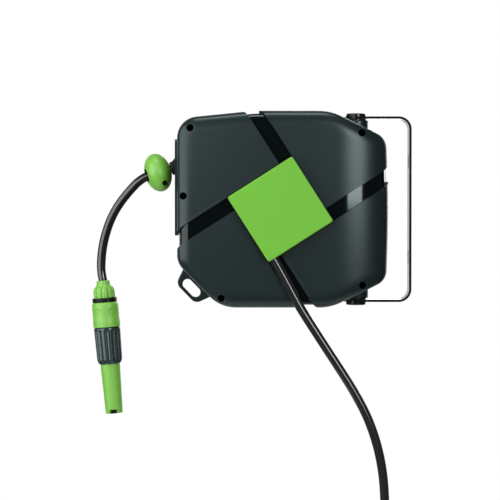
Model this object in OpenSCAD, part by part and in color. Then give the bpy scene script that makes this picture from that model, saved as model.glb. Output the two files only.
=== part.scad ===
// Wall mounted hose reel. The casing swings on a wall bracket, and a sprung drum winds the hose in.
// Frame: X points into the wall, Y from the front of the casing to its back, Z up.
// Origin: the middle of the bracket's back face, on the wall.

/* [Hose] */
// Outer diameter of the hose
hose_d = 11.5; // [10.5:0.1:12.5]
// Diameter of the water ways
bore_d = 8; // [7:0.1:9]
// Turns of hose side by side on the drum
hose_turns = 6; // [5:1:7]
// Layers of hose on the full drum
hose_layers = 4; // [3:1:4]
// Gap between neighbouring turns of hose
side_gap = 0.5; // [0.45:0.05:0.8]

/* [Drum] */
// Radius of the drum barrel
hub_r = 47.4; // [46:0.2:52]
// Wall of the drum barrel
hub_wall = 3; // [2.4:0.1:4]
// Thickness of the drum flanges
flange_t = 2.5; // [2:0.1:4]
// Rise of the flanges above the wound hose
flange_lip = 12; // [8:0.5:16]
// Radius of the spring arbor and of the inlet spigot
axle_r = 9; // [8.5:0.1:10]
// Thickness of the main spring's strip
spring_t = 1.2; // [0.8:0.1:1.6]
// Turns of the main spring
spring_turns = 5; // [4:1:7]
// Thickness of the ratchet ring
ratchet_t = 5; // [4:0.5:7]
// Teeth on the ratchet ring
ratchet_teeth = 12; // [12:12:12]

/* [Casing] */
// Wall of the two covers
wall = 2.6; // [2:0.1:3.5]
// Depth of the bands below the panels
band_depth = 3.5; // [2.5:0.1:4.5]
// Width of the bands
band_w = 18.2; // [16:0.2:20]
// Room round the rim of the drum
drum_room = 11.3; // [10:0.1:18]
// Extra room on the outlet side
outlet_room = 5.7; // [3:0.1:10]
// Room for the pawl in front of the ratchet ring
pawl_room = 6; // [5.5:0.1:8]
// Radius of the front and back edges
edge_r = 13; // [11:0.5:16]
// Length of the curved end next to the wall
end_curve = 67; // [60:1:74]
// Half depth left at the tip of the curved end
nose_f = 26; // [24:1:32]
// Swing axis to drum axis
pivot_to_drum = 97; // [95:1:105]
// Casing past the swing axis, towards the wall
pivot_overhang = 41; // [38:1:45]
// Width of the slot in the hook lug
lug_slot_w = 12.6; // [10:0.2:14]
// Length of the slot in the hook lug
lug_slot_l = 27; // [24:0.5:30]
// Rim of the hook lug round its slot
lug_rim = 4.8; // [4:0.2:6]
// Thickness of the hook lug
lug_t = 8; // [6:0.5:12]

/* [Centre plate] */
// Side of the square plate
plate_side = 94.8; // [92:0.2:100]
// Turn of the square plate
plate_turn = 32.5; // [30:0.5:35]
// Wall of the square plate
plate_t = 2.2; // [1.8:0.1:3]

/* [Wall bracket] */
// Width of the steel strip
bracket_w = 30; // [28:0.5:31]
// Thickness of the steel strip
bracket_t = 3; // [2.5:0.1:4]
// Outer radius of the bends
bend_r = 16; // [10:0.5:22]
// Spacing of the two wall slots
slot_pitch = 121; // [100:1:140]
// Length of a wall slot
slot_l = 18; // [14:0.5:22]
// Width of a wall slot
slot_w = 8; // [6:0.2:10]
// Gap left between the swung reel and the wall
swing_gap = 1.5; // [1.5:0.1:8]
// Rise of the pivot bosses above the casing
pivot_rise = 5.6; // [5.4:0.1:8]
// Radius of the pivot pins
pin_r = 6; // [5:0.1:7]
// Radius of the pin caps
cap_r = 12.5; // [11:0.1:14]
// Height of the pin caps
cap_h = 4.2; // [3:0.1:8]

/* [Outlet] */
// Height of the outlet above the drum axis
outlet_h = 53; // [50:0.5:56]
// Thickness of the outlet fairing
fairing_t = 3.3; // [3:0.1:6]
// Width of the outlet fairing
fairing_w = 56; // [44:1:64]
// Length of the mouth
mouth_l = 6; // [4:0.1:8]
// Outer radius of the mouth
mouth_r = 8.5; // [8:0.1:10]
// Radius of the guide rollers where the hose runs
roller_r = 6; // [5:0.1:7]

/* [Ball stop] */
// Diameter of the ball stop
ball_d = 49; // [44:0.5:54]
// Length of the ball stop along the hose
ball_t = 34; // [30:0.5:38]

/* [Connectors and nozzle] */
// Tilt of the hanging nozzle
nozzle_tilt = 4.8; // [4:0.1:6]
// Radius of the hose nut
nut_r = 12.6; // [12:0.1:13]
// Length of the hose nut
nut_l = 23; // [22:0.5:26]
// Radius of the sliding collar
collar_r = 17.1; // [15.6:0.1:18]
// Length of the sliding collar
collar_l = 32; // [30:0.5:36]
// Travel of the sliding collar
collar_travel = 4; // [3:0.5:5]
// Radius of the nozzle's grip
grip_r = 17; // [15.6:0.1:18]
// Length of the nozzle's grip
grip_l = 46; // [42:0.5:52]
// Radius of the nozzle's tip at the grip
tip_r = 12.4; // [12:0.1:13]
// Radius of the nozzle's tip at its end
tip_end_r = 10.8; // [9:0.1:11.5]
// Length of the nozzle's tip outside the grip
tip_l = 63; // [56:0.5:70]

/* [Feed hose] */
// Radius of the coil of spare hose
coil_r = 66; // [60:1:72]
// Turns in the coil of spare hose
coil_turns = 2; // [2:1:3]

/* [Hidden] */
$fn = 64;
overrun = 1;
slack = 0.3;
running_fit = 0.05;
push_fit = 0.1;
hose_r = hose_d / 2;
bore_r = bore_d / 2;

// Drum, with heights f counted from the parting plane towards the front
hose_pitch = hose_d + side_gap;
drum_half = (hose_turns * hose_pitch + side_gap) / 2;
wrap_r = hub_r + (hose_layers - 1 / 2) * hose_d;
flange_r = wrap_r + hose_r + flange_lip;
flange_f = drum_half + flange_t;
ratchet_f = flange_f + ratchet_t;
inner_f = ratchet_f + pawl_room;
floor_f = inner_f + wall;
face_f = floor_f + band_depth;
skin = wall + band_depth;
hose_gap = 0.9;
hose_f = floor_f + hose_gap + hose_r;
plate_f = hose_f + hose_r + hose_gap + plate_t;
back_f = -(face_f - wall);
barrel_in_r = hub_r - hub_wall;

// Places along X
pivot_x = -(plate_f + swing_gap);
drum_x = pivot_x - pivot_to_drum;

// Casing outline, counter-clockwise from the wall side:
// shares of the reach to each side and of the half height
casing_half_h = flange_r + drum_room + skin;
casing_left = casing_half_h + outlet_room;
casing_right = pivot_to_drum + pivot_overhang;
nose_share = 0.973;
nose_h_share = 0.725;
shoulder_share = 0.456;
crest_share = 0.253;
tail_h_share = 0.9225;
hook_h_share = 0.548;
foot_share = 0.582;
outline_points = [
    [casing_right, 0],
    [casing_right * nose_share, casing_half_h * nose_h_share],
    [casing_right * shoulder_share, casing_half_h],
    [-casing_left * crest_share, casing_half_h],
    [-casing_left, casing_half_h * tail_h_share],
    [-casing_left, -casing_half_h * hook_h_share],
    [-casing_left * foot_share, -casing_half_h],
    [casing_right * shoulder_share, -casing_half_h],
    [casing_right * nose_share, -casing_half_h * nose_h_share]
];
bow_r = 1000;
nose_r = 20;
shoulder_r = 60;
crest_r = 130;
tail_r = 26.5;
hook_r = 24;
foot_r = 46;
least_r = 2;
outline_radii = [bow_r, nose_r, shoulder_r, crest_r, tail_r, hook_r, foot_r, shoulder_r, nose_r];
arc_points = 5;
edge_steps = [0, 18, 36, 54, 72, 90];
crown_shares = [0.1, 0.22, 0.38, 0.58, 0.86];

// Screws that join the covers: shares of the reach to each side and of the half height
screw_places = [
    [-casing_left * 0.872, casing_half_h * 0.825],
    [-casing_left * 0.938, casing_half_h * 0.135],
    [-casing_left * 0.571, -casing_half_h * 0.902],
    [casing_right * 0.737, casing_half_h * 0.774],
    [casing_right * 0.745, -casing_half_h * 0.77]
];
screw_seat_f = 8;
screw_hole_r = 4.6;
screw_boss_r = 6.4;
screw_post_r = 5.6;
screw_head_r = 3.8;
screw_head_h = 3;
screw_r = 2;
screw_l = 22;
band_back_share = 0.6;

// Pivot
shoulder_run = casing_right * (nose_share - shoulder_share);
shoulder_drop = (pivot_to_drum - casing_right * shoulder_share) / shoulder_run;
pivot_top = casing_half_h * (1 - shoulder_drop * (1 - nose_h_share)) + pivot_rise;
boss_r = 15.5;
boss_deep = 13.6;
pivot_deep = 10;
bush_wall = 2;
bush_rim = 5;
bush_t = 1.5;
arm_in = pivot_top + bush_t + slack;
arm_out = arm_in + bracket_t;
arm_back = -pivot_x;
cap_round = 1.6;

// Inlet, pipe and spring stations
elbow_turn = 242.5;
elbow_l = 18.6;
feed_gap = 0.4;
elbow_r = 8.6;
elbow_rim = 3;
elbow_rim_t = 2.5;
clip_t = 1.5;
clip_rim = 4;
clip_groove = 0.8;
hub_wall_in = 6;
hub_rise = 1.2;
hub_top_f = ratchet_f + hub_rise;
spigot_l = 11;
spigot_tip_f = drum_half - spigot_l;
pipe_wall = 1.2;
pipe_r = bore_r + pipe_wall;
pipe_f = spigot_tip_f - pipe_r - overrun;
hub_floor = 2;
hub_low_f = pipe_f - pipe_r - hub_floor;
pipe_turn = 200;
pipe_seat = 2;
pipe_seat_r = axle_r + pipe_seat;
seal_r = 0.8;
seal_first = 6;
seal_places = [seal_first, 2 * seal_first];
cover_t = 2;
cover_gap = 2;
cover_f = hub_low_f - cover_gap - cover_t;
cover_hole = 1;
arbor_rim_r = 22;
arbor_rim_t = 4;
arbor_key = 10;
arbor_key_l = 8;
arbor_top_f = cover_f + cover_t;
boss_low_f = back_f + arbor_rim_t + slack + bush_t;
drum_bush_wall = 3;
drum_boss_wall = 4;
spring_side_gap = 1;
spring_foot_f = -drum_half + spring_side_gap;
spring_top_f = cover_f - spring_side_gap;

// Ratchet, pawl and drum screws
ratchet_in_r = 35;
ratchet_root_r = 42;
ratchet_tip_r = 48;
tooth_lead_turn = 1;
tooth_run_turn = 12;
pawl_pin_r = 3;
pawl_eye_r = 6;
pawl_gap = 6;
pawl_h = ratchet_tip_r + pawl_eye_r + pawl_gap;
pawl_tip_r = 1.6;
pawl_lift = 1.77;
pawl_tip_turn = 122;
pawl_tip_at = (ratchet_tip_r + pawl_lift + pawl_tip_r) * [cos(pawl_tip_turn), sin(pawl_tip_turn)];
pawl_arm = pawl_tip_at - [0, pawl_h];
pawl_side_gap = 0.4;
pawl_t = ratchet_t - 3 / 2 * pawl_side_gap;
pawl_foot_f = flange_f + pawl_side_gap;
pawl_boss_r = 6.5;
pawl_boss_t = 1.6;
ratchet_turn = 125;
pawl_wire_r = 0.35;
pawl_coil_turns = 2;
drum_screw_r = 1.5;
drum_screw_head_r = 2.6;
drum_screw_head_h = 2.2;
drum_screw_l = 12;
drum_screws_n = 4;
drum_post_lap = 0.4;
drum_screw_at = (ratchet_in_r + ratchet_root_r) / 2;
drum_post_r = barrel_in_r - drum_screw_at + drum_post_lap;

// Outlet frame: its Z runs out along the hose, its X up across the hose
mouth_x = casing_left + fairing_t;
mouth_far = norm([mouth_x, outlet_h]);
outlet_tilt = asin(wrap_r / mouth_far) - atan2(outlet_h, mouth_x);
wrap_reach = sqrt(mouth_far * mouth_far - wrap_r * wrap_r);
lead_gap = 2;
guide_gap = 0.5;
cheek_t = 4;
cheek_gap = 9;
cheek_l = 34;
cheek_h = 38;
window_slack = 0.4;
roller_s = -20;
roller_gap = 0.3;
roller_rim = 3;
roller_pin_r = 2;
roller_h = hose_r + roller_gap + roller_r;
roller_half = cheek_gap - slack;
window_half = cheek_gap + cheek_t + window_slack;
window_up = roller_h + roller_r + roller_rim - roller_s * sin(outlet_tilt) + window_slack;
fairing_up = 35;
fairing_down = 86;
fairing_corner = 6;
ball_s = mouth_l + slack + ball_t / 2;
ball_grip = 6;
ball_flare_r = 9;
ball_flare_l = 10;
ball_screw_h = 15.5;
ball_screw_s = -5.5;
ball_screw_r = 1.5;
ball_screw_head_r = 2.9;
ball_screw_head_h = 2.4;
ball_screw_hole_r = 3.4;
ball_screw_half = 11;
ball_turn_step = 10;

// Middle of the ball stop
ball_at = [
    drum_x - mouth_x - ball_s * cos(outlet_tilt),
    0,
    outlet_h - ball_s * sin(outlet_tilt)
];

// Hanging hose, from the ball stop to the nozzle, counted from the middle of the ball stop
tail_route = [
    [-11.1, -3.5], [-18.5, -7.2], [-25.3, -12], [-30, -16.5], [-37.6, -25], [-46.4, -36], [-54.2, -48],
    [-60.6, -61], [-65.6, -75], [-69.2, -89], [-71.5, -104], [-72.2, -118], [-71.4, -129]
];
nozzle_from = [-70, -137];
hose_in_nut = 20;

// Feed hose, from the inlet elbow down past the casing, counted from the drum axis
feed_route = [
    [-11.8, -24.1], [-13.7, -32.1], [-14.1, -40.4], [-13.1, -48.6], [-10.7, -56.5], [-7.8, -62.4],
    [1.2, -78.5], [10, -94.5], [18.6, -110.5], [27.6, -126.5], [48.1, -158.5], [71.2, -194], [91, -225.5],
    [108, -258], [120, -292], [127, -326], [129.8, -360], [130, -396]
];
feed_foot = [130, -432];
coil_loop_rings = 24;
coil_sides = 6;
hose_sides = 10;
coil_gap = 0.9;
coil_pitch = hose_d + coil_gap;
coil_drift = 16;
clamp_t = 0.7;
clamp_l = 6.2;
tie_gap = 0.6;
tie_t = 1.4;
tie_w = 9;

// Connector stations along its axis, from the hose end
nut_neck_r = 8.2;
nut_neck_l = 9;
nut_cone_l = 2;
nut_rib_r = 0.9;
nut_ribs = 12;
nut_thread_at = 12;
nut_thread_r = 10.1;
ring_gap = 0.6;
ring_in_r = nut_r + nut_rib_r + ring_gap;
ring_l = collar_travel + ring_gap;
ring_wall = 1.4;
ring_round = 0.4;
collar_at = nut_l + collar_travel;
collar_end = collar_at + collar_l;
collar_gap = 0.5;
collar_in_r = nut_r + collar_gap;
collar_waist = 0.5;
body_short = 3;
body_end = collar_end - body_short;
socket_l = 18;
socket_at = body_end - socket_l;
socket_r = 8.15;
plug_fit = 0.08;
plug_r = socket_r - plug_fit;
nozzle_seal_r = 0.6;

// Nozzle stations
grip_at = collar_end + ring_gap;
grip_end = grip_at + grip_l;
grip_taper = 0.9;
grip_flutes = 16;
grip_flute_r = 1.4;
grip_floor = 20;
chamber_at = grip_at + grip_floor;
chamber_r = 11.4;
core_t = 3;
core_r = 3;
core_rim_r = 4.4;
core_end_gap = 4;
core_ways = 4;
core_way_r = 2;
core_way_at = 7;
tip_gap = 0.4;
tip_at = grip_end + tip_gap;
tip_end = tip_at + tip_l;
tip_stem_l = 16;
tip_bore_r = 8;
tip_mouth_r = 5.2;
tip_mouth_l = 10;
tip_throat_l = 10;
tip_seal_at = 9;
tip_seal_r = 0.65;
tip_round = 1;

// Lug and plate
lug_lift = 10.8;
lug_slide = 3.5;
plate_gap = 0.6;
plate_edge = 1.2;
plate_corner = 4;
peg_r = 2.4;
peg_at = 36;
gate_half = 6.7;
gate_at = -39.7;

function unit(v) = v / norm(v);

// Points of one rounded corner, moved in from the outline
function corner(a, v, b, r, inset) =
    let (
        to_a = unit(a - v),
        to_b = unit(b - v),
        half = acos(to_a * to_b) / 2,
        mid = unit(to_a + to_b),
        rr = max(r - inset, least_r),
        tip = v + mid * inset / sin(half),
        c = tip + mid * rr / sin(half),
        from = tip + to_a * rr / tan(half) - c,
        start = atan2(from[1], from[0]),
        turn = 180 - 2 * half
    )
    [for (i = [0 : arc_points - 1])
        c + rr * [cos(start + turn * i / (arc_points - 1)), sin(start + turn * i / (arc_points - 1))]];

function outline(inset) =
    let (n = len(outline_points))
    [for (k = [0 : n - 1])
        each corner(
            outline_points[(k + n - 1) % n], outline_points[k], outline_points[(k + 1) % n],
            outline_radii[k], inset
        )];

// Height of the front face at x, without the rounded edge
function crown(x, side_skin, face_skin) =
    let (
        from = casing_right - end_curve,
        t = max(0, min(1, (x - from) / (end_curve - side_skin)))
    )
    nose_f - face_skin + (face_f - nose_f) * sqrt(1 - t * t);

function raised(points, side_skin, face_skin, drop) =
    [for (p = points) [p[0], p[1], crown(p[0], side_skin, face_skin) - drop]];

// Half of the casing's solid, moved in by a skin on its side walls and on its face
module half_casing(side_skin, face_skin, foot) {
    r = max(edge_r - side_skin, least_r);
    rim = outline(side_skin);
    rings = concat(
        [[for (p = rim) [p[0], p[1], foot]]],
        [for (a = edge_steps)
            raised(outline(side_skin + r * (1 - cos(a))), side_skin, face_skin, r * (1 - sin(a)))],
        [for (s = crown_shares)
            raised(outline(side_skin + r + s * end_curve), side_skin, face_skin, 0)]
    );
    skin_of_rings(rings);
}

// Closed skin over a stack of rings
module skin_of_rings(rings) {
    n = len(rings[0]);
    m = len(rings);
    polyhedron(
        points = [for (ring = rings) each ring],
        faces = concat(
            [[for (k = [0 : n - 1]) k]],
            [for (i = [0 : m - 2]) for (k = [0 : n - 1])
                [i * n + k, (i + 1) * n + k, (i + 1) * n + (k + 1) % n]],
            [for (i = [0 : m - 2]) for (k = [0 : n - 1])
                [i * n + k, (i + 1) * n + (k + 1) % n, i * n + (k + 1) % n]],
            [[for (k = [n - 1 : -1 : 0]) (m - 1) * n + k]]
        )
    );
}

// Smooth line through chosen points
function between(a, b, c, d, t) =
    let (t2 = t * t, t3 = t2 * t)
    (2 * b + (c - a) * t + (2 * a - 5 * b + 4 * c - d) * t2 + (3 * b - a - 3 * c + d) * t3) / 2;

function smooth(points, steps) =
    let (n = len(points))
    concat(
        [for (i = [0 : n - 2]) for (j = [0 : steps - 1])
            between(points[max(i - 1, 0)], points[i], points[i + 1], points[min(i + 2, n - 1)], j / steps)],
        [points[n - 1]]
    );

// Round tube along a line; the sections are set square to a fixed direction
module tube(path, r, sides, across) {
    n = len(path);
    rings = [for (i = [0 : n - 1])
        let (
            along = unit(path[min(i + 1, n - 1)] - path[max(i - 1, 0)]),
            u = unit(cross(across, along)),
            v = cross(along, u)
        )
        [for (k = [0 : sides - 1]) path[i] + r * (cos(360 * k / sides) * u + sin(360 * k / sides) * v)]];
    skin_of_rings(rings);
}

// Least gap between the turns of a wound tube
function least_gap(path, d, apart) =
    min([for (i = [0 : len(path) - 1]) for (j = [i + apart : 1 : len(path) - 1])
        norm(path[i] - path[j])]) - d;

module rod(r, from, to) translate([0, 0, from]) cylinder(r = r, h = to - from);

module cone(r_from, r_to, from, to) translate([0, 0, from]) cylinder(r1 = r_from, r2 = r_to, h = to - from);

module ring(r_in, r_out, from, to) difference() {
    rod(r_out, from, to);
    rod(r_in, from - overrun, to + overrun);
}

// Seal ring of round section
module seal(r, at, wire_r) translate([0, 0, at]) rotate_extrude() translate([r, 0]) circle(r = wire_r);

module rounded_square(w, h, r) {
    square([w - 2 * r, h], center = true);
    square([w, h - 2 * r], center = true);
    for (x = [-1, 1]) for (y = [-1, 1]) translate([x * (w / 2 - r), y * (h / 2 - r)]) circle(r = r);
}

// Slot with round ends, long along X
module stadium(l, w) {
    square([l - w, w], center = true);
    for (side = [-1, 1]) translate([side * (l - w) / 2, 0]) circle(r = w / 2);
}

// Frames of reference
module at_drum() translate([drum_x, 0, 0]) rotate([90, 0, 0]) children();

module at_pivot(side) translate([pivot_x, 0, 0]) mirror([0, 0, side < 0 ? 1 : 0]) children();

module at_outlet() translate([drum_x - mouth_x, 0, outlet_h]) rotate([0, -90 - outlet_tilt, 0]) children();

module at_nozzle() translate(ball_at + [nozzle_from[0], 0, nozzle_from[1]])
    rotate([0, 180 - nozzle_tilt, 0]) children();

module at_feed() translate(coil_end) rotate([180, 0, 0]) children();

module at_plate() at_drum() rotate(plate_turn) children();

// Wall bracket
module wall_bracket() color([0.05, 0.05, 0.05]) difference() {
    intersection() {
        rotate([90, 0, 0]) linear_extrude(bracket_w, center = true) difference() {
            strip_side(arm_out, 0, bend_r);
            strip_side(arm_in, bracket_t, bend_r - bracket_t);
        }
        linear_extrude(2 * arm_out + overrun, center = true) {
            translate([pivot_x, 0]) circle(r = bracket_w / 2);
            translate([pivot_x, -bracket_w / 2]) square([arm_back, bracket_w]);
        }
    }
    translate([pivot_x, 0, 0]) rod(pin_r + push_fit, -arm_out - overrun, arm_out + overrun);
    for (side = [-1, 1]) translate([0, 0, side * slot_pitch / 2]) rotate([0, -90, 0]) wall_slot();
}

module strip_side(half, inset, r) {
    far = pivot_x - bracket_w;
    translate([far, -half]) square([-far - inset - r, 2 * half]);
    translate([far, -half + r]) square([-far - inset, 2 * (half - r)]);
    for (side = [-1, 1]) translate([-inset - r, side * (half - r)]) circle(r = r);
}

module wall_slot() translate([0, 0, -overrun])
    linear_extrude(bracket_t + 2 * overrun) stadium(slot_l, slot_w);

module pivot_pin(side) at_pivot(side) {
    rod(pin_r, pivot_top - pivot_deep + slack, arm_out);
    translate([0, 0, arm_out]) rotate_extrude() {
        square([cap_r - cap_round, cap_h]);
        square([cap_r, cap_h - cap_round]);
        translate([cap_r - cap_round, cap_h - cap_round]) circle(r = cap_round);
    }
}

module pivot_pin_top() color([0.06, 0.06, 0.06]) pivot_pin(1);

module pivot_pin_bottom() color([0.06, 0.06, 0.06]) pivot_pin(-1);

module pivot_bush(side) at_pivot(side) difference() {
    union() {
        rod(pin_r + bush_wall, pivot_top - pivot_deep + slack, pivot_top);
        rod(pin_r + bush_wall + bush_rim, pivot_top, pivot_top + bush_t);
    }
    rod(pin_r + running_fit, 0, arm_out);
}

module pivot_bush_top() color([0.16, 0.17, 0.17]) pivot_bush(1);

module pivot_bush_bottom() color([0.16, 0.17, 0.17]) pivot_bush(-1);

// Casing
module bands(from, to) for (k = [0 : 3]) rotate(plate_turn + 90 * k)
    translate([plate_side / 2 - band_w, 0, from]) cube([band_w, casing_left + casing_right, to - from]);

module screw_tubes(r, from, to) for (p = screw_places) translate(p) rod(r, from, to);

module pivot_bosses(front) for (side = [-1, 1]) at_pivot(side) intersection() {
    rod(boss_r, pivot_top - boss_deep, pivot_top);
    translate([-boss_r, front ? -boss_r : 0, 0]) cube([2 * boss_r, boss_r, arm_out]);
}

module pivot_bores() for (side = [-1, 1]) at_pivot(side)
    rod(pin_r + bush_wall + push_fit, pivot_top - pivot_deep, pivot_top + overrun);

// Way through both covers for the outlet guide
module outlet_window() translate([drum_x - mouth_x, -window_half, outlet_h - cheek_h / 2])
    cube([cheek_l, 2 * window_half, cheek_h / 2 + window_up]);

module front_cover() color([0.17, 0.21, 0.22]) difference() {
    union() {
        at_drum() {
            difference() {
                half_casing(0, 0, 0);
                difference() {
                    union() {
                        bands(-overrun, face_f + overrun);
                        rotate(plate_turn) translate([0, 0, floor_f]) linear_extrude(face_f)
                            rounded_square(plate_side + 2 * plate_gap, plate_side + 2 * plate_gap, plate_corner);
                    }
                    half_casing(band_depth, band_depth, -2 * overrun);
                }
                half_casing(skin, skin, -overrun);
            }
            intersection() {
                half_casing(band_depth, band_depth, 0);
                screw_tubes(screw_boss_r, 0, face_f);
            }
            translate([0, pawl_h, 0]) rod(pawl_boss_r, inner_f - pawl_boss_t, inner_f);
        }
        pivot_bosses(true);
    }
    at_drum() {
        screw_tubes(screw_hole_r, screw_seat_f, face_f + overrun);
        screw_tubes(screw_r + push_fit, -overrun, face_f);
        rod(axle_r + push_fit, inner_f - overrun, face_f);
        translate([0, pawl_h, 0]) rod(pawl_pin_r + running_fit, 0, inner_f);
        rotate(plate_turn) plate_pegs(peg_r + push_fit, inner_f - overrun, face_f);
    }
    pivot_bores();
    outlet_window();
}

module rear_cover() color([0.17, 0.21, 0.22]) difference() {
    union() {
        at_drum() {
            mirror([0, 0, 1]) difference() {
                half_casing(0, 0, 0);
                difference() {
                    bands(-overrun, face_f * band_back_share);
                    half_casing(band_depth, 0, -2 * overrun);
                }
                half_casing(skin, wall, -overrun);
            }
            mirror([0, 0, 1]) intersection() {
                half_casing(band_depth, wall / 2, 0);
                screw_tubes(screw_post_r, 0, face_f);
            }
            hook_lug();
            translate([-arbor_key / 2, -arbor_key / 2, back_f]) cube([arbor_key, arbor_key, arbor_key_l]);
        }
        pivot_bosses(false);
    }
    at_drum() screw_tubes(screw_r + running_fit, -screw_l + screw_seat_f - overrun, overrun);
    pivot_bores();
    outlet_window();
}

// Lug on the sloping lower corner
module hook_lug() {
    a = outline_points[5];
    b = outline_points[6];
    along = unit(b - a);
    out = [along[1], -along[0]];
    mid = (a + b) / 2 - along * lug_slide + out * lug_lift;
    reach = (lug_slot_l - lug_slot_w) / 2;
    translate([0, 0, -lug_t]) linear_extrude(lug_t) difference() {
        hull() {
            for (side = [-1, 1])
                translate(mid + along * side * reach) circle(r = lug_slot_w / 2 + lug_rim, $fn = 32);
            for (side = [-1, 1]) translate(mid - out * (lug_lift + lug_rim) + along * side * lug_slot_l)
                circle(r = lug_rim, $fn = 32);
        }
        translate(mid) rotate(atan2(along[1], along[0])) stadium(lug_slot_l, lug_slot_w);
    }
}

module casing_screws() color([0.3, 0.3, 0.31]) at_drum() for (p = screw_places) translate(p) {
    rod(screw_head_r, screw_seat_f, screw_seat_f + screw_head_h);
    rod(screw_r, screw_seat_f - screw_l, screw_seat_f);
}

// Square plate over the inlet
module plate_pegs(r, from, to) for (p = [[1, 1], [1, -1], [-1, 1]]) translate(p * peg_at) rod(r, from, to);

module plate_block(grow, from, to) translate([0, 0, from]) linear_extrude(to - from)
    rounded_square(plate_side + 2 * grow, plate_side + 2 * grow, plate_corner + grow);

module centre_plate() color([0.45, 0.76, 0.26]) at_plate() {
    difference() {
        hull() {
            plate_block(0, floor_f + push_fit, plate_f - plate_edge);
            plate_block(-plate_edge, plate_f - plate_edge, plate_f);
        }
        plate_block(-plate_t, floor_f, plate_f - plate_t);
        translate([gate_at - gate_half, -plate_side, floor_f])
            cube([2 * gate_half, plate_side, hose_f + hose_r + hose_gap / 2 - floor_f]);
    }
    plate_pegs(peg_r, inner_f, plate_f - plate_t);
}

// Water inlet
module inlet_elbow() color([0.08, 0.08, 0.08]) at_drum() difference() {
    union() {
        difference() {
            rod(axle_r, spigot_tip_f, floor_f);
            for (s = seal_places)
                ring(axle_r - 2 * seal_r, axle_r + overrun,
                    spigot_tip_f + s - seal_r - push_fit, spigot_tip_f + s + seal_r + push_fit);
            ring(axle_r - clip_groove, axle_r + overrun, inner_f - clip_t - push_fit, inner_f);
        }
        rod(axle_r + elbow_rim, floor_f, floor_f + elbow_rim_t);
        rod(elbow_r, floor_f, hose_f + hose_r + hose_gap / 2);
        elbow_way(hose_r, elbow_l);
    }
    rod(bore_r, spigot_tip_f - overrun, hose_f + bore_r + running_fit);
    elbow_way(bore_r - push_fit, elbow_l + overrun);
}

module elbow_way(r, l) translate([0, 0, hose_f]) rotate(elbow_turn) rotate([0, 90, 0]) cylinder(r = r, h = l);

module inlet_circlip() color([0.5, 0.5, 0.5]) at_drum() difference() {
    ring(axle_r - clip_groove + running_fit, axle_r + clip_rim, inner_f - clip_t, inner_f - running_fit);
    rotate(elbow_turn) translate([0, -clip_rim, 0]) cube([2 * axle_r, 2 * clip_rim, inner_f + overrun]);
}

module inlet_seals() color([0.04, 0.04, 0.04]) at_drum() for (s = seal_places)
    seal(axle_r - seal_r + running_fit / 2, spigot_tip_f + s, seal_r - running_fit / 2);

// Feed hose and the coil of its spare length
function in_face(p, f) = [drum_x + p[0], -f, p[1]];

feed_start = (elbow_l + feed_gap) * [cos(elbow_turn), sin(elbow_turn)];
feed_path = smooth([for (p = concat([feed_start], feed_route, [feed_foot])) in_face(p, hose_f)], 2);

// Depth of the coil at a turn angle: even turns, then a drift to the back before its end
function coil_f(t) = hose_f - coil_pitch * t / 360
    - coil_drift * pow(max(0, t / 180 - 2 * coil_turns + 1), 2)
    * (3 - 2 * max(0, t / 180 - 2 * coil_turns + 1));

coil_mid = feed_foot - [coil_r, hose_d];
coil_loops = [for (i = [0 : coil_turns * coil_loop_rings])
    let (t = i * 360 / coil_loop_rings)
    in_face(coil_mid + coil_r * [cos(t), -sin(t)], coil_f(t))];
coil_last = coil_loops[len(coil_loops) - 1];
coil_end = coil_last - [0, 0, hose_d];
coil_path = concat([in_face(feed_foot, hose_f)], coil_loops, [coil_end, coil_end - [0, 0, hose_in_nut]]);
echo(feed_coil_gap = least_gap(coil_path, hose_d, coil_loop_rings / 2));

module feed_hose() color([0.05, 0.05, 0.05]) tube(feed_path, hose_r, hose_sides, [0, 1, 0]);

module feed_coil() color([0.05, 0.05, 0.05]) tube(coil_path, hose_r, coil_sides, [0, 1, 0]);

module feed_clamp() color([0.55, 0.55, 0.55]) at_drum() translate([0, 0, hose_f])
    rotate(elbow_turn) rotate([0, 90, 0])
        ring(hose_r + push_fit, hose_r + push_fit + clamp_t, elbow_l - clamp_l, elbow_l - push_fit);

// Strap round the two sides of the coil that lie next to each other
module feed_tie() color([0.07, 0.07, 0.07])
    translate(in_face(coil_mid - [coil_r, 0], (coil_f(180) + coil_f(540)) / 2))
        linear_extrude(tie_w, center = true) rotate(90) difference() {
            stadium(coil_pitch + hose_d + 2 * (tie_gap + tie_t), hose_d + 2 * (tie_gap + tie_t));
            stadium(coil_pitch + hose_d + 2 * tie_gap, hose_d + 2 * tie_gap);
        }

// Quick connector, along its axis from the hose end
module nut_shape() difference() {
    union() {
        rod(nut_neck_r, 0, nut_neck_l);
        cone(nut_neck_r, nut_r, nut_neck_l, nut_neck_l + nut_cone_l);
        rod(nut_r, nut_neck_l + nut_cone_l, nut_l);
        for (k = [0 : nut_ribs - 1]) rotate(360 * k / nut_ribs) translate([nut_r, 0, 0])
            rod(nut_rib_r, nut_neck_l + nut_cone_l + nut_rib_r, nut_l - nut_cone_l);
    }
    rod(hose_r + slack, -overrun, nut_l + overrun);
    rod(nut_thread_r, nut_thread_at, nut_l + overrun);
}

module body_shape() difference() {
    union() {
        rod(nut_thread_r - push_fit, nut_thread_at + slack, nut_l + slack);
        rod(collar_in_r - slack, nut_l + slack, body_end);
    }
    rod(hose_r + slack, 0, hose_in_nut + push_fit);
    rod(bore_r, 0, body_end + overrun);
    rod(socket_r, socket_at, body_end + overrun);
}

module ring_shape() translate([0, 0, collar_at - ring_l]) rotate_extrude()
    translate([ring_in_r + ring_wall / 2, ring_l / 2]) rounded_square(ring_wall, ring_l, ring_round);

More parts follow.
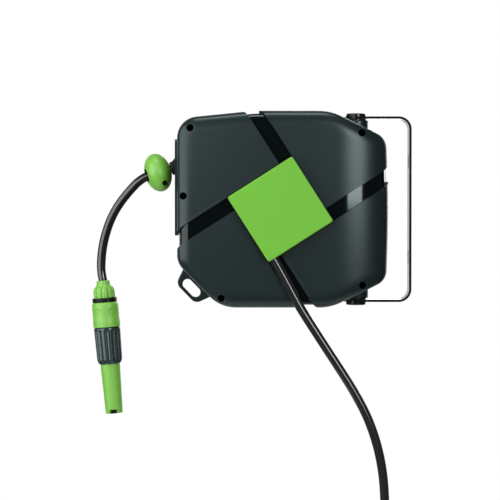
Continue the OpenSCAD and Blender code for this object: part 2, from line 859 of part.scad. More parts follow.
module collar_shape() difference() {
    rotate_extrude() polygon([
        [collar_in_r, collar_at],
        [collar_r - collar_waist, collar_at],
        [collar_r, collar_at + 2 * collar_waist],
        [collar_r, collar_at + collar_l / 4],
        [collar_r - collar_waist, collar_at + collar_l / 3],
        [collar_r - collar_waist, collar_end - collar_l / 3],
        [collar_r, collar_end - collar_l / 4],
        [collar_r, collar_end - 2 * collar_waist],
        [collar_r - collar_waist, collar_end],
        [collar_in_r, collar_end]
    ]);
}

module feed_nut() color([0.49, 0.78, 0.27]) at_feed() nut_shape();

module feed_body() color([0.1, 0.1, 0.1]) at_feed() body_shape();

module feed_collar() color([0.49, 0.78, 0.27]) at_feed() collar_shape();

module feed_ring() color([0.06, 0.06, 0.06]) at_feed() ring_shape();

// Outlet guide with its mouth and the cheeks that carry the rollers
module outlet_guide() color([0.13, 0.13, 0.13]) difference() {
    union() {
        translate([drum_x - mouth_x, 0, outlet_h + (fairing_up - fairing_down) / 2]) rotate([0, 90, 0])
            linear_extrude(fairing_t) rounded_square(fairing_up + fairing_down, fairing_w, fairing_corner);
        intersection() {
            at_outlet() {
                rod(mouth_r, -fairing_t, mouth_l);
                cone(mouth_r + mouth_l, mouth_r, -mouth_l, mouth_l / 2);
            }
            translate([drum_x - 2 * mouth_x, -mouth_x, 0])
                cube([mouth_x + fairing_t / 2, 2 * mouth_x, mouth_x]);
        }
        intersection() {
            at_outlet() for (side = [-1, 1])
                translate([-cheek_h / 2, side * (cheek_gap + cheek_t / 2) - cheek_t / 2, -cheek_l])
                    cube([cheek_h, cheek_t, 2 * cheek_l]);
            translate([drum_x - mouth_x + fairing_t / 2, -mouth_x, 0]) cube([mouth_x, 2 * mouth_x, mouth_x]);
        }
    }
    at_outlet() {
        rod(hose_r + guide_gap, -cheek_l, mouth_l + overrun);
        for (side = [-1, 1]) translate([side * roller_h, 0, roller_s]) rotate([90, 0, 0])
            rod(roller_pin_r + running_fit, -fairing_w, fairing_w);
    }
}

module at_roller(side) at_outlet() translate([side * roller_h, 0, roller_s]) rotate([90, 0, 0]) children();

module roller(side) at_roller(side) rotate_extrude() difference() {
    translate([roller_pin_r + running_fit, -roller_half])
        square([roller_r + roller_rim - roller_pin_r, 2 * roller_half]);
    translate([roller_h, 0]) circle(r = roller_h - roller_r);
}

module roller_upper() color([0.2, 0.2, 0.2]) roller(1);

module roller_lower() color([0.2, 0.2, 0.2]) roller(-1);

module roller_pins() color([0.6, 0.6, 0.6]) for (side = [-1, 1]) at_roller(side)
    rod(roller_pin_r, -cheek_gap - cheek_t, cheek_gap + cheek_t);

// Fixed axle of the main spring
module spring_arbor() color([0.55, 0.56, 0.57]) at_drum() difference() {
    union() {
        rod(arbor_rim_r, back_f, back_f + arbor_rim_t);
        rod(axle_r, back_f, arbor_top_f);
    }
    translate([-arbor_key / 2 - push_fit, -arbor_key / 2 - push_fit, back_f - overrun])
        cube([arbor_key + 2 * push_fit, arbor_key + 2 * push_fit, arbor_key_l + overrun + push_fit]);
}

// Pawl of the ratchet
module at_pawl() at_drum() translate([0, pawl_h, 0]) children();

module pawl() color([0.7, 0.68, 0.6]) at_pawl() difference() {
    translate([0, 0, pawl_foot_f]) linear_extrude(pawl_t) hull() {
        circle(r = pawl_eye_r, $fn = 32);
        translate(pawl_arm) circle(r = pawl_tip_r, $fn = 32);
    }
    rod(pawl_pin_r + running_fit, 0, inner_f);
}

module pawl_pin() color([0.6, 0.6, 0.6]) at_pawl() rod(pawl_pin_r, pawl_foot_f, inner_f);

pawl_coil_from = pawl_foot_f + pawl_t + pawl_wire_r + slack;
pawl_coil_to = inner_f - pawl_boss_t - pawl_wire_r - slack;
pawl_path = [for (i = [0 : 8 * pawl_coil_turns])
    let (t = 45 * i)
    [
        (pawl_pin_r + slack + pawl_wire_r) * cos(t),
        (pawl_pin_r + slack + pawl_wire_r) * sin(t),
        pawl_coil_from + (pawl_coil_to - pawl_coil_from) * i / (8 * pawl_coil_turns)
    ]];
echo(pawl_spring_gap = least_gap(pawl_path, 2 * pawl_wire_r, 5));

module pawl_spring() color([0.65, 0.65, 0.65]) at_pawl() tube(pawl_path, pawl_wire_r, coil_sides, [0, 0, 1]);

// Drum
module drum_posts(r, from, to) for (k = [0 : drum_screws_n - 1])
    rotate(360 * k / drum_screws_n + 180 / ratchet_teeth) translate([drum_screw_at, 0, 0]) rod(r, from, to);

module radial(turn, f, r, from, to) translate([0, 0, f]) rotate(turn) rotate([0, 90, 0]) rod(r, from, to);

module drum_barrel() color([0.12, 0.13, 0.13]) at_drum() difference() {
    union() {
        rod(hub_r, -drum_half, drum_half);
        rod(flange_r, -flange_f, -drum_half);
        rod(axle_r + drum_bush_wall + drum_boss_wall, boss_low_f, -drum_half);
    }
    difference() {
        rod(barrel_in_r, -drum_half, drum_half + overrun);
        drum_posts(drum_post_r, drum_half - drum_screw_l, drum_half + 2 * overrun);
    }
    rod(axle_r + drum_bush_wall + push_fit, -face_f, drum_half);
    radial(pipe_turn, pipe_f, pipe_r + push_fit, axle_r, hub_r + overrun);
    drum_posts(drum_screw_r + running_fit, drum_half - drum_screw_l + overrun, drum_half + overrun);
}

module drum_flange() color([0.12, 0.13, 0.13]) at_drum() difference() {
    union() {
        rod(flange_r, drum_half, flange_f);
        rod(axle_r + hub_wall_in, hub_low_f, hub_top_f);
    }
    rod(axle_r + running_fit, pipe_f - pipe_r, hub_top_f + overrun);
    radial(pipe_turn, pipe_f, bore_r, 0, pipe_seat_r + overrun);
    radial(pipe_turn, pipe_f, pipe_r + push_fit, pipe_seat_r, axle_r + hub_wall_in + overrun);
    drum_posts(drum_screw_r + push_fit, 0, flange_f + overrun);
}

module drum_bush() color([0.75, 0.74, 0.7]) at_drum() difference() {
    union() {
        rod(axle_r + drum_bush_wall, boss_low_f, -drum_half);
        rod(axle_r + drum_bush_wall + drum_boss_wall, boss_low_f - bush_t, boss_low_f);
    }
    rod(axle_r + running_fit, -face_f, 0);
}

module drum_pipe() color([0.2, 0.2, 0.2]) at_drum() difference() {
    radial(pipe_turn, pipe_f, pipe_r, pipe_seat_r + push_fit, hub_r - slack);
    radial(pipe_turn, pipe_f, bore_r, 0, hub_r);
}

// Inner layers of hose, a plain core under the outer layer
module hose_core() color([0.05, 0.05, 0.05]) at_drum() ring(
    hub_r + push_fit, wrap_r * cos(180 / coil_loop_rings) - hose_r - slack,
    -drum_half + push_fit, drum_half - push_fit
);

// Outer layer, from the back flange to the middle, where it leaves for the outlet
wind_turns = (drum_half - hose_r - side_gap) / hose_pitch;
wind_steps = ceil(wind_turns * coil_loop_rings);
wind_loops = [for (i = [0 : wind_steps])
    let (t = 90 + outlet_tilt - 360 * wind_turns * (1 - i / wind_steps))
    [wrap_r * cos(t), wrap_r * sin(t), -(drum_half - hose_r - side_gap) * (1 - i / wind_steps)]];
wind_path = concat(wind_loops, [wind_loops[wind_steps] - hose_d * [cos(outlet_tilt), sin(outlet_tilt), 0]]);
echo(hose_winding_gap = least_gap(wind_path, hose_d, coil_loop_rings / 2));

module hose_winding() color([0.05, 0.05, 0.05]) at_drum() tube(wind_path, hose_r, coil_sides, [0, 0, 1]);

// Flat spiral spring between the arbor and the barrel
spring_steps = 24 * spring_turns;
spring_from = axle_r + slack;
spring_to = barrel_in_r - slack - spring_t;

function spring_point(i, off) =
    (spring_from + off + (spring_to - spring_from) * i / spring_steps) * [cos(15 * i), sin(15 * i)];

module main_spring() color([0.4, 0.42, 0.45]) at_drum() translate([0, 0, spring_foot_f])
    linear_extrude(spring_top_f - spring_foot_f) polygon(concat(
        [for (i = [0 : spring_steps]) spring_point(i, spring_t)],
        [for (i = [spring_steps : -1 : 0]) spring_point(i, 0)]
    ));

module spring_cover() color([0.3, 0.3, 0.3]) at_drum()
    ring(axle_r + cover_hole, barrel_in_r - push_fit, cover_f, cover_f + cover_t);

module ratchet_ring() color([0.35, 0.36, 0.36]) at_drum() difference() {
    translate([0, 0, flange_f]) linear_extrude(ratchet_t) difference() {
        polygon([for (k = [0 : ratchet_teeth - 1])
            let (a = ratchet_turn + 360 * k / ratchet_teeth)
            each [
                ratchet_root_r * [cos(a), sin(a)],
                ratchet_tip_r * [cos(a + tooth_lead_turn), sin(a + tooth_lead_turn)],
                ratchet_root_r * [cos(a + tooth_run_turn), sin(a + tooth_run_turn)]
            ]]);
        circle(r = ratchet_in_r);
    }
    drum_posts(drum_screw_r + push_fit, flange_f - overrun, ratchet_f + overrun);
    drum_posts(drum_screw_head_r + push_fit, ratchet_f - drum_screw_head_h, ratchet_f + overrun);
}

module drum_screws() color([0.6, 0.6, 0.6]) at_drum() {
    drum_posts(drum_screw_head_r, ratchet_f - drum_screw_head_h, ratchet_f - push_fit);
    drum_posts(drum_screw_r, drum_half - drum_screw_l + 2 * overrun, ratchet_f - drum_screw_head_h);
}

// Hose end
lead_from = -wrap_reach + hose_d + lead_gap;

module hose_lead() color([0.05, 0.05, 0.05]) at_outlet() rod(hose_r, lead_from, ball_s + ball_grip);

tail_points = concat(
    [ball_at - ball_grip * [cos(outlet_tilt), 0, sin(outlet_tilt)]],
    [for (p = tail_route) ball_at + [p[0], 0, p[1]]],
    [for (l = [0, hose_in_nut])
        ball_at + [nozzle_from[0] + l * sin(nozzle_tilt), 0, nozzle_from[1] - l * cos(nozzle_tilt)]]
);
tail_path = smooth(tail_points, 2);

module hose_tail() color([0.05, 0.05, 0.05]) tube(tail_path, hose_r, hose_sides, [0, 1, 0]);

module at_ball() at_outlet() translate([0, 0, ball_s]) children();

// One screw goes in from the front below the hose, one from the back above it
module ball_bolts(r, from, to) for (side = [-1, 1])
    translate([side * ball_screw_h, 0, ball_screw_s]) rotate([side < 0 ? 90 : -90, 0, 0]) rod(r, from, to);

module ball_half(front) at_ball() difference() {
    rotate_extrude()
        polygon([for (a = [-90 : ball_turn_step : 90]) [ball_d / 2 * cos(a), ball_t / 2 * sin(a)]]);
    translate([-ball_d, front ? 0 : -ball_d, -ball_t]) cube([2 * ball_d, ball_d, 2 * ball_t]);
    rod(hose_r + push_fit, -ball_t, ball_t);
    cone(hose_r, ball_flare_r, ball_t / 2 - ball_flare_l, ball_t / 2 + push_fit);
    ball_bolts(ball_screw_r + running_fit, -ball_screw_half - overrun, ball_d);
    ball_bolts(ball_screw_hole_r, ball_screw_half - ball_screw_head_h, ball_d);
}

module ball_front() color([0.49, 0.78, 0.27]) ball_half(true);

module ball_rear() color([0.49, 0.78, 0.27]) ball_half(false);

module ball_screws() color([0.6, 0.6, 0.6]) at_ball() {
    ball_bolts(ball_screw_head_r, ball_screw_half - ball_screw_head_h, ball_screw_half);
    ball_bolts(ball_screw_r, -ball_screw_half, ball_screw_half - ball_screw_head_h);
}

module coupler_nut() color([0.49, 0.78, 0.27]) at_nozzle() nut_shape();

module coupler_body() color([0.1, 0.1, 0.1]) at_nozzle() body_shape();

module coupler_collar() color([0.49, 0.78, 0.27]) at_nozzle() collar_shape();

module coupler_ring() color([0.06, 0.06, 0.06]) at_nozzle() ring_shape();

// Nozzle
module nozzle_grip() color([0.2, 0.21, 0.21]) at_nozzle() difference() {
    union() {
        cone(grip_r, grip_r - grip_taper, grip_at, grip_end);
        rod(plug_r, socket_at + overrun, grip_at + overrun);
    }
    for (k = [0 : grip_flutes - 1]) rotate(360 * k / grip_flutes) translate([grip_r, 0, 0])
        rod(grip_flute_r, grip_at + 2 * grip_flute_r, grip_end - 2 * grip_flute_r);
    rod(bore_r, 0, grip_end);
    rod(chamber_r, chamber_at, grip_end + overrun);
    ring(plug_r - 2 * nozzle_seal_r, plug_r + overrun,
        nozzle_seal_at - nozzle_seal_r, nozzle_seal_at + nozzle_seal_r);
}

nozzle_seal_at = (socket_at + body_end) / 2;

module nozzle_seal() color([0.04, 0.04, 0.04]) at_nozzle()
    seal(plug_r - nozzle_seal_r + running_fit / 2, nozzle_seal_at, nozzle_seal_r - running_fit / 2);

module nozzle_core() color([0.12, 0.12, 0.12]) at_nozzle() difference() {
    union() {
        rod(chamber_r - push_fit, chamber_at, chamber_at + core_t);
        rod(core_r, chamber_at, tip_end - core_end_gap);
        cone(core_r, core_rim_r, tip_end - 2 * core_end_gap, tip_end - core_end_gap);
    }
    for (k = [0 : core_ways - 1]) rotate(360 * k / core_ways) translate([core_way_at, 0, 0])
        rod(core_way_r, chamber_at - overrun, chamber_at + core_t + overrun);
}

module nozzle_tip() color([0.49, 0.78, 0.27]) at_nozzle() difference() {
    union() {
        difference() {
            rod(chamber_r - running_fit, tip_at - tip_stem_l, tip_at);
            ring(chamber_r - 2 * tip_seal_r, chamber_r + overrun,
                tip_at - tip_seal_at - tip_seal_r - push_fit, tip_at - tip_seal_at + tip_seal_r + push_fit);
        }
        cone(tip_r, tip_end_r, tip_at, tip_end - tip_round);
        cone(tip_end_r, tip_end_r - tip_round, tip_end - tip_round, tip_end);
    }
    rod(tip_bore_r, 0, tip_end - tip_mouth_l - tip_throat_l);
    cone(tip_bore_r, tip_mouth_r, tip_end - tip_mouth_l - tip_throat_l, tip_end - tip_mouth_l);
    rod(tip_mouth_r, tip_end - tip_mouth_l - overrun, tip_end + overrun);
}

module tip_seal() color([0.04, 0.04, 0.04]) at_nozzle()
    seal(chamber_r - tip_seal_r - running_fit / 2, tip_at - tip_seal_at, tip_seal_r - running_fit);

wall_bracket();
pivot_pin_top();
pivot_pin_bottom();
front_cover();
rear_cover();
pivot_bush_top();
pivot_bush_bottom();
casing_screws();
centre_plate();
inlet_elbow();
inlet_circlip();
inlet_seals();
feed_clamp();
feed_hose();
feed_coil();
feed_tie();
feed_nut();
feed_body();
feed_collar();
feed_ring();
outlet_guide();
roller_pins();
roller_upper();
roller_lower();
spring_arbor();
pawl_pin();
pawl_spring();
pawl();
drum_barrel();
drum_flange();
drum_bush();
drum_pipe();
drum_screws();
ratchet_ring();
hose_core();
hose_winding();
main_spring();
spring_cover();
hose_lead();
hose_tail();
ball_front();
ball_rear();
ball_screws();
coupler_nut();
coupler_body();
coupler_collar();
coupler_ring();
nozzle_grip();
nozzle_core();
nozzle_seal();
tip_seal();
nozzle_tip();
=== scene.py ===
"""Wall mounted hose reel, dressed for rendering.

Lengths are in mm in the part's frame, and go to metres in the meshes. The camera, the lamps and the
floor are placed in metres. The casing is laid out about the drum's axis: x and y lie across its
front, and f points out of it towards the viewer.
"""
import bpy
import bmesh
import math
from functools import lru_cache
from mathutils import Matrix, Vector


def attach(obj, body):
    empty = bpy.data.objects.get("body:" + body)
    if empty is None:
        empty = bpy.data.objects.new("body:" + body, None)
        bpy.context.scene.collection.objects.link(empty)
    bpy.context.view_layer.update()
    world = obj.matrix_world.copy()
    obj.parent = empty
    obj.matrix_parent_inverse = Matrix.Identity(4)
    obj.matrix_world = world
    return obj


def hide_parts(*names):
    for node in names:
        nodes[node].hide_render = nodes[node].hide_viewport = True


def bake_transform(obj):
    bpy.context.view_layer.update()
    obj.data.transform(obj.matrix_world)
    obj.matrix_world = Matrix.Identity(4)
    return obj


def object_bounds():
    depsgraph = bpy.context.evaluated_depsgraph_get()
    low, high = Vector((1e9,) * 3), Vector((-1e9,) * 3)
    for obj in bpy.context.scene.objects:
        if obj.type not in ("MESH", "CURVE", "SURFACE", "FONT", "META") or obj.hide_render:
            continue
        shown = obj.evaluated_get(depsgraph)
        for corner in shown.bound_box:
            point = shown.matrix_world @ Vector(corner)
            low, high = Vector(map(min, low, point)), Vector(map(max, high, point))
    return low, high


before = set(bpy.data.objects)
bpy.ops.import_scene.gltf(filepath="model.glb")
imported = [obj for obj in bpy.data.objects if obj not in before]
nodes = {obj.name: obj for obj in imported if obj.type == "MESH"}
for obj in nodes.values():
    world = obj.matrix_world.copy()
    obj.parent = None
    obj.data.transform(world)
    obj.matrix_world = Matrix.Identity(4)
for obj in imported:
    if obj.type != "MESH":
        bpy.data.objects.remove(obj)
cad_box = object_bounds()
MM = 0.001
scene = bpy.context.scene
scene.view_settings.view_transform = "Standard"

# -------- camera
EYE, AIM = Vector((-0.2038, -2.4, 0.0)), Vector((-0.2038, 0.0, -0.0517))
VIEW_WIDTH, SENSOR, CLIP_END = 0.635, 36.0, 30.0
camera = bpy.data.objects.new("camera", bpy.data.cameras.new("camera"))
scene.collection.objects.link(camera)
camera.location = EYE
camera.rotation_euler = (AIM - EYE).to_track_quat("-Z", "Y").to_euler()
camera.data.sensor_width = SENSOR
camera.data.lens = SENSOR * (AIM - EYE).length / VIEW_WIDTH
camera.data.clip_end = CLIP_END
scene.camera = camera

# -------- sizes, as in the part's source
HOSE_D = 11.5
HOSE_R = HOSE_D / 2
# Drum barrel, and half the room between its flanges
HUB_R, DRUM_HALF = 47.4, 36.25
# Fronts of the panels, the bands and the plate, and the middle of the feed hose
FACE_F, FLOOR_F, PLATE_F, HOSE_F = 55.85, 52.35, 67.85, 59.0
# Swing axis, drum axis, and the bosses on the swing axis
PIVOT_X, DRUM_X = -69.35, -166.35
PIVOT_TOP, BOSS_L, BOSS_R, BOSS_BORE_R = 112.273, 21.6, 15.5, 8.2
# Reach of the casing from the drum axis, its front edge, and its curved end next to the wall
HALF_H, LEFT, RIGHT = 122.8, 128.5, 138.0
EDGE_R, END_CURVE, NOSE_F = 13.0, 67.0, 26.0
BAND_W, BAND_DEPTH, DOME = 18.2, 3.5, 2.4
PLATE_SIDE, PLATE_TURN, PLATE_T = 94.8, 32.5, 2.2
OUTLET_H, OUTLET_TILT, MOUTH_X = 53.0, 16.1915, 131.8
# Ball stop: its place along the hose, its radius, half its length, and where its grip starts
BALL_S, BALL_R, BALL_HALF, BALL_GRIP = 23.3, 24.5, 17.0, 6.0
# Connector and nozzle: stations along their axis, and radii
NOZZLE_TILT, NUT_L = 4.8, 23.0
COLLAR_AT, COLLAR_END, COLLAR_R = 27.0, 59.0, 17.1
GRIP_AT, GRIP_END, GRIP_R = 59.6, 105.6, 17.0
TIP_AT, TIP_END, TIP_R, TIP_END_R = 106.0, 169.0, 12.4, 10.8
# Corners of the casing, their radii, and its screws
OUTLINE = [
    (RIGHT, 0), (RIGHT * 0.973, HALF_H * 0.725), (RIGHT * 0.456, HALF_H),
    (-LEFT * 0.253, HALF_H), (-LEFT, HALF_H * 0.9225), (-LEFT, -HALF_H * 0.548),
    (-LEFT * 0.582, -HALF_H), (RIGHT * 0.456, -HALF_H), (RIGHT * 0.973, -HALF_H * 0.725),
]
OUTLINE_R = [1000, 20, 60, 130, 26.5, 24, 46, 60, 20]
SCREWS = [
    (-LEFT * 0.872, HALF_H * 0.825), (-LEFT * 0.938, HALF_H * 0.135),
    (-LEFT * 0.571, -HALF_H * 0.902), (RIGHT * 0.737, HALF_H * 0.774),
    (RIGHT * 0.745, -HALF_H * 0.77),
]
# The hanging hose, from the ball stop, and the feed hose, from the drum axis
TAIL_ROUTE = [
    (-11.1, -3.5), (-18.5, -7.2), (-25.3, -12), (-30, -16.5), (-37.6, -25), (-46.4, -36),
    (-54.2, -48), (-60.6, -61), (-65.6, -75), (-69.2, -89), (-71.5, -104), (-72.2, -118),
    (-71.4, -129),
]
NOZZLE_FROM, HOSE_IN_NUT = (-70, -137), 20.0
FEED_ROUTE = [
    (-11.8, -24.1), (-13.7, -32.1), (-14.1, -40.4), (-13.1, -48.6), (-10.7, -56.5), (-7.8, -62.4),
    (1.2, -78.5), (10, -94.5), (18.6, -110.5), (27.6, -126.5), (48.1, -158.5), (71.2, -194),
    (91, -225.5), (108, -258), (120, -292), (127, -326), (129.8, -360), (130, -396), (130, -432),
]
ELBOW_TURN, ELBOW_L, FEED_GAP = 242.5, 18.6, 0.4
COIL_R, COIL_TURNS, COIL_PITCH, COIL_DRIFT = 66.0, 2, 12.4, 16.0


# -------- frames of reference
def turned(degrees):
    """Cosine and sine of a turn."""
    a = math.radians(degrees)
    return math.cos(a), math.sin(a)


def basis(x, y, z, o=(0, 0, 0)):
    """A frame from its X, Y and Z axes and its origin."""
    return Matrix(((x[0], y[0], z[0], o[0]), (x[1], y[1], z[1], o[1]), (x[2], y[2], z[2], o[2]),
                   (0, 0, 0, 1)))


def in_face(x, z, f):
    return Vector((DRUM_X + x, -f, z))


X, Y, Z = (1, 0, 0), (0, 1, 0), (0, 0, 1)
CT, ST = turned(OUTLET_TILT)
CN, SN = turned(NOZZLE_TILT)
OUT, DOWN = Vector((-CT, 0, -ST)), Vector((SN, 0, -CN))
AT_ORIGIN = Matrix.Identity(4)
AT_DRUM = basis(X, Z, (0, -1, 0), (DRUM_X, 0, 0))
AT_OUTLET = basis((-ST, 0, CT), Y, OUT, (DRUM_X - MOUTH_X, 0, OUTLET_H))
BALL_AT = AT_OUTLET @ Vector((0, 0, BALL_S))
AT_BALL = basis((-ST, 0, CT), Y, OUT, BALL_AT)
NOZZLE_TOP = BALL_AT + Vector((NOZZLE_FROM[0], 0, NOZZLE_FROM[1]))
AT_NOZZLE = basis((-CN, 0, -SN), Y, DOWN, NOZZLE_TOP)
PLATE_C, PLATE_S = turned(PLATE_TURN)
AT_PLATE = AT_DRUM @ basis((PLATE_C, PLATE_S, 0), (-PLATE_S, PLATE_C, 0), Z)
COIL_MID = (FEED_ROUTE[-1][0] - COIL_R, FEED_ROUTE[-1][1] - HOSE_D)


def coil_f(t):
    """How far out the coil lies after a turn of t degrees; its last half turn drifts back."""
    late = max(0.0, t / 180 - 2 * COIL_TURNS + 1)
    return HOSE_F - COIL_PITCH * t / 360 - COIL_DRIFT * late * late * (3 - 2 * late)


def coil_point(t):
    c, s = turned(t)
    return in_face(COIL_MID[0] + COIL_R * c, COIL_MID[1] - COIL_R * s, coil_f(t))


COIL_END = coil_point(360 * COIL_TURNS) - Vector((0, 0, HOSE_D))
AT_FEED = basis(X, (0, -1, 0), (0, 0, -1), COIL_END)


# -------- materials
def linear(r, g, b):
    """A colour on the screen's scale of 0 to 255, as light."""
    def one(v):
        v /= 255
        return v / 12.92 if v <= 0.04045 else ((v + 0.055) / 1.055) ** 2.4
    return one(r), one(g), one(b)


def fill(node, inputs):
    for key, v in inputs.items():
        node.inputs[key].default_value = v


def add(tree, kind, inputs=None, **settings):
    """A new shader node, with its settings and then the values of its inputs."""
    made = tree.nodes.new(kind)
    for key, v in settings.items():
        setattr(made, key, v)
    fill(made, inputs or {})
    return made


def span(tree, low, high, to_low, to_high):
    return add(tree, "ShaderNodeMapRange",
               {"From Min": low, "From Max": high, "To Min": to_low, "To Max": to_high})


# Pointiness at which the painted edge highlight starts and is full, and how it lightens a colour
EDGE_LIGHT_FROM, EDGE_LIGHT_FULL, EDGE_LIGHT_GAIN, EDGE_LIGHT_LIFT = 0.53, 0.62, 1.5, 0.02
NOISE_LOW, NOISE_HIGH, LEAST_ROUGH = 0.3, 0.7, 0.02


def surface(name, color, rough, spread=0.08, patch=22.0, grain=1300.0, bump=0.12, deep=0.00012,
            rough_spread=0.07, stretch=(1, 1, 1), metal=0.0, specular=0.5, tint=(1, 1, 1),
            edge_highlight=0.0):
    """Plastic, rubber or metal.

    The colour drifts slowly, roughness and relief have a fine grain, and convex edges may get a
    painted highlight that makes their colour paler.
    """
    m = bpy.data.materials.new(name)
    m.use_nodes = True
    tree = m.node_tree
    link = tree.links.new
    bsdf = tree.nodes["Principled BSDF"]
    fill(bsdf, {"Metallic": metal, "Specular IOR Level": specular, "Specular Tint": (*tint, 1)})
    where = add(tree, "ShaderNodeTexCoord")
    fit = add(tree, "ShaderNodeMapping", {"Scale": stretch})
    link(where.outputs["Object"], fit.inputs["Vector"])
    slow = add(tree, "ShaderNodeTexNoise", {"Scale": patch, "Detail": 4.0})
    fine = add(tree, "ShaderNodeTexNoise", {"Scale": grain, "Detail": 3.0})
    for tex in (slow, fine):
        link(fit.outputs["Vector"], tex.inputs["Vector"])
    dark = (*[c * (1 - spread) for c in color], 1)
    pale = (*[min(1.0, c * (1 + spread)) for c in color], 1)
    tone = add(tree, "ShaderNodeMix", {"A": dark, "B": pale}, data_type="RGBA")
    link(slow.outputs["Fac"], tone.inputs["Factor"])
    colour = tone.outputs["Result"]
    # Painted highlight: edges with high pointiness are lightened as if they caught the light
    if edge_highlight:
        edge = add(tree, "ShaderNodeNewGeometry")
        curve = span(tree, EDGE_LIGHT_FROM, EDGE_LIGHT_FULL, 0.0, edge_highlight)
        link(edge.outputs["Pointiness"], curve.inputs["Value"])
        lit_edge_colour = (*[min(1.0, c * EDGE_LIGHT_GAIN + EDGE_LIGHT_LIFT) for c in color], 1)
        edge_light_mix = add(tree, "ShaderNodeMix", {"B": lit_edge_colour}, data_type="RGBA")
        link(curve.outputs["Result"], edge_light_mix.inputs["Factor"])
        link(colour, edge_light_mix.inputs["A"])
        colour = edge_light_mix.outputs["Result"]
    link(colour, bsdf.inputs["Base Color"])
    gloss = span(tree, NOISE_LOW, NOISE_HIGH,
                 max(LEAST_ROUGH, rough - rough_spread), min(1.0, rough + rough_spread))
    link(fine.outputs["Fac"], gloss.inputs["Value"])
    link(gloss.outputs["Result"], bsdf.inputs["Roughness"])
    relief = add(tree, "ShaderNodeBump", {"Strength": bump, "Distance": deep})
    link(fine.outputs["Fac"], relief.inputs["Height"])
    link(relief.outputs["Normal"], bsdf.inputs["Normal"])
    return m


COOL = (0.82, 1.0, 0.99)
# edge_highlight sets how strong the painted highlight on each material's convex edges is
CASING = surface("casing_moulded", linear(28, 39, 41), 0.31, spread=0.05, grain=1500, bump=0.02,
                 rough_spread=0.03, tint=COOL, edge_highlight=0.3)
BANDS = surface("band_gloss", linear(5, 10, 11), 0.09, spread=0.12, patch=30, grain=500, bump=0.01,
                rough_spread=0.02, tint=COOL)
PLATE = surface("plate_green", linear(115, 191, 60), 0.5, spread=0.03, grain=1600, bump=0.08,
                specular=0.3, edge_highlight=0.6)
GREEN = surface("green_moulded", linear(119, 192, 60), 0.46, spread=0.05, patch=40, grain=900,
                bump=0.03, specular=1.0, edge_highlight=0.2)
BLACK = surface("black_moulded", linear(17, 19, 19), 0.3, spread=0.15, patch=60, grain=1200,
                bump=0.05, specular=0.35)
GUIDE = surface("guide_black", linear(22, 29, 30), 0.38, spread=0.1, patch=60, grain=1400,
                bump=0.05, rough_spread=0.04, specular=0.4)
GRIP = surface("grip_moulded", linear(33, 47, 49), 0.26, spread=0.1, patch=60, grain=1100,
               bump=0.004, rough_spread=0.02, specular=1.0, tint=COOL, edge_highlight=0.1)
STEEL_PAINT = surface("bracket_paint", linear(15, 17, 17), 0.2, spread=0.15, patch=45, grain=260,
                      bump=0.01, rough_spread=0.02)
RUBBER = surface("hose_gloss", linear(24, 27, 27), 0.1, spread=0.2, patch=55, grain=300,
                 bump=0.008, rough_spread=0.02, specular=1.0)
FEED = surface("feed_hose_gloss", linear(34, 38, 37), 0.14, spread=0.15, patch=55, grain=300,
               bump=0.008, rough_spread=0.02, specular=0.7)
SEAL = surface("seal_black", linear(7, 8, 8), 0.42, spread=0.2, grain=900, bump=0.04, specular=0.25)
STRAP = surface("strap_weave", linear(30, 30, 31), 0.8, spread=0.35, patch=900, grain=1800,
                bump=0.5, deep=0.0004)
ZINC = surface("zinc_steel", linear(190, 192, 194), 0.3, patch=300, grain=900, metal=1.0,
               stretch=(1, 1, 6))
OXIDE = surface("black_oxide", linear(34, 35, 37), 0.4, spread=0.2, patch=300, grain=900, metal=1.0)
SPRING = surface("spring_steel", linear(120, 126, 134), 0.35, spread=0.12, patch=200, grain=800,
                 metal=1.0, stretch=(6, 1, 6))
NATURAL = surface("natural_plastic", linear(214, 211, 200), 0.45, spread=0.04, patch=80, grain=900,
                  bump=0.06)

# Material, body and slot of the casing's outer pieces
COVER = (CASING, "casing", "casing_plastic")

# -------- mesh helpers
# Lengths that count as none, a turn that counts as none, and the share of a run that a corner takes
MERGE, TINY, NO_TURN, CORNER_SHARE = 1e-6, 1e-9, 1e-3, 0.48
# Angles beyond which an edge is shaded sharp, on flat pieces and on turned ones
SHARP, ROUND_SHARP = 35, 50
# Sides of a round hole
HOLE_SIDES = 48


def ease(x, a, b):
    """A smooth step from 0 at a to 1 at b."""
    t = max(0.0, min(1.0, (x - a) / (b - a)))
    return t * t * (3 - 2 * t)


def shade(mesh, sharp):
    mesh.polygons.foreach_set("use_smooth", [True] * len(mesh.polygons))
    mesh.set_sharp_from_angle(angle=math.radians(sharp))


def piece(name, verts, faces, mat, body, slot, at=AT_ORIGIN, sharp=SHARP, outward=True):
    """A mesh object in a frame, riding on a body; a cutting tool has no body."""
    mesh = bpy.data.meshes.new(name)
    mesh.from_pydata([(at @ Vector(v)) * MM for v in verts], [], faces)
    bm = bmesh.new()
    bm.from_mesh(mesh)
    bmesh.ops.remove_doubles(bm, verts=bm.verts, dist=MERGE)
    if outward:
        bmesh.ops.recalc_face_normals(bm, faces=bm.faces)
    bm.to_mesh(mesh)
    bm.free()
    obj = bpy.data.objects.new(name, mesh)
    scene.collection.objects.link(obj)
    mesh.materials.append(mat)
    shade(mesh, sharp)
    if body:
        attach(obj, body)
    return obj


def bake(obj, sharp=SHARP):
    """The mesh with its modifiers applied."""
    bpy.context.view_layer.update()
    graph = bpy.context.evaluated_depsgraph_get()
    mesh = bpy.data.meshes.new_from_object(obj.evaluated_get(graph))
    mats = list(obj.data.materials)
    obj.modifiers.clear()
    obj.data = mesh
    mesh.materials.clear()
    for m in mats:
        mesh.materials.append(m)
    mesh.polygons.foreach_set("material_index", [0] * len(mesh.polygons))
    shade(mesh, sharp)
    return obj


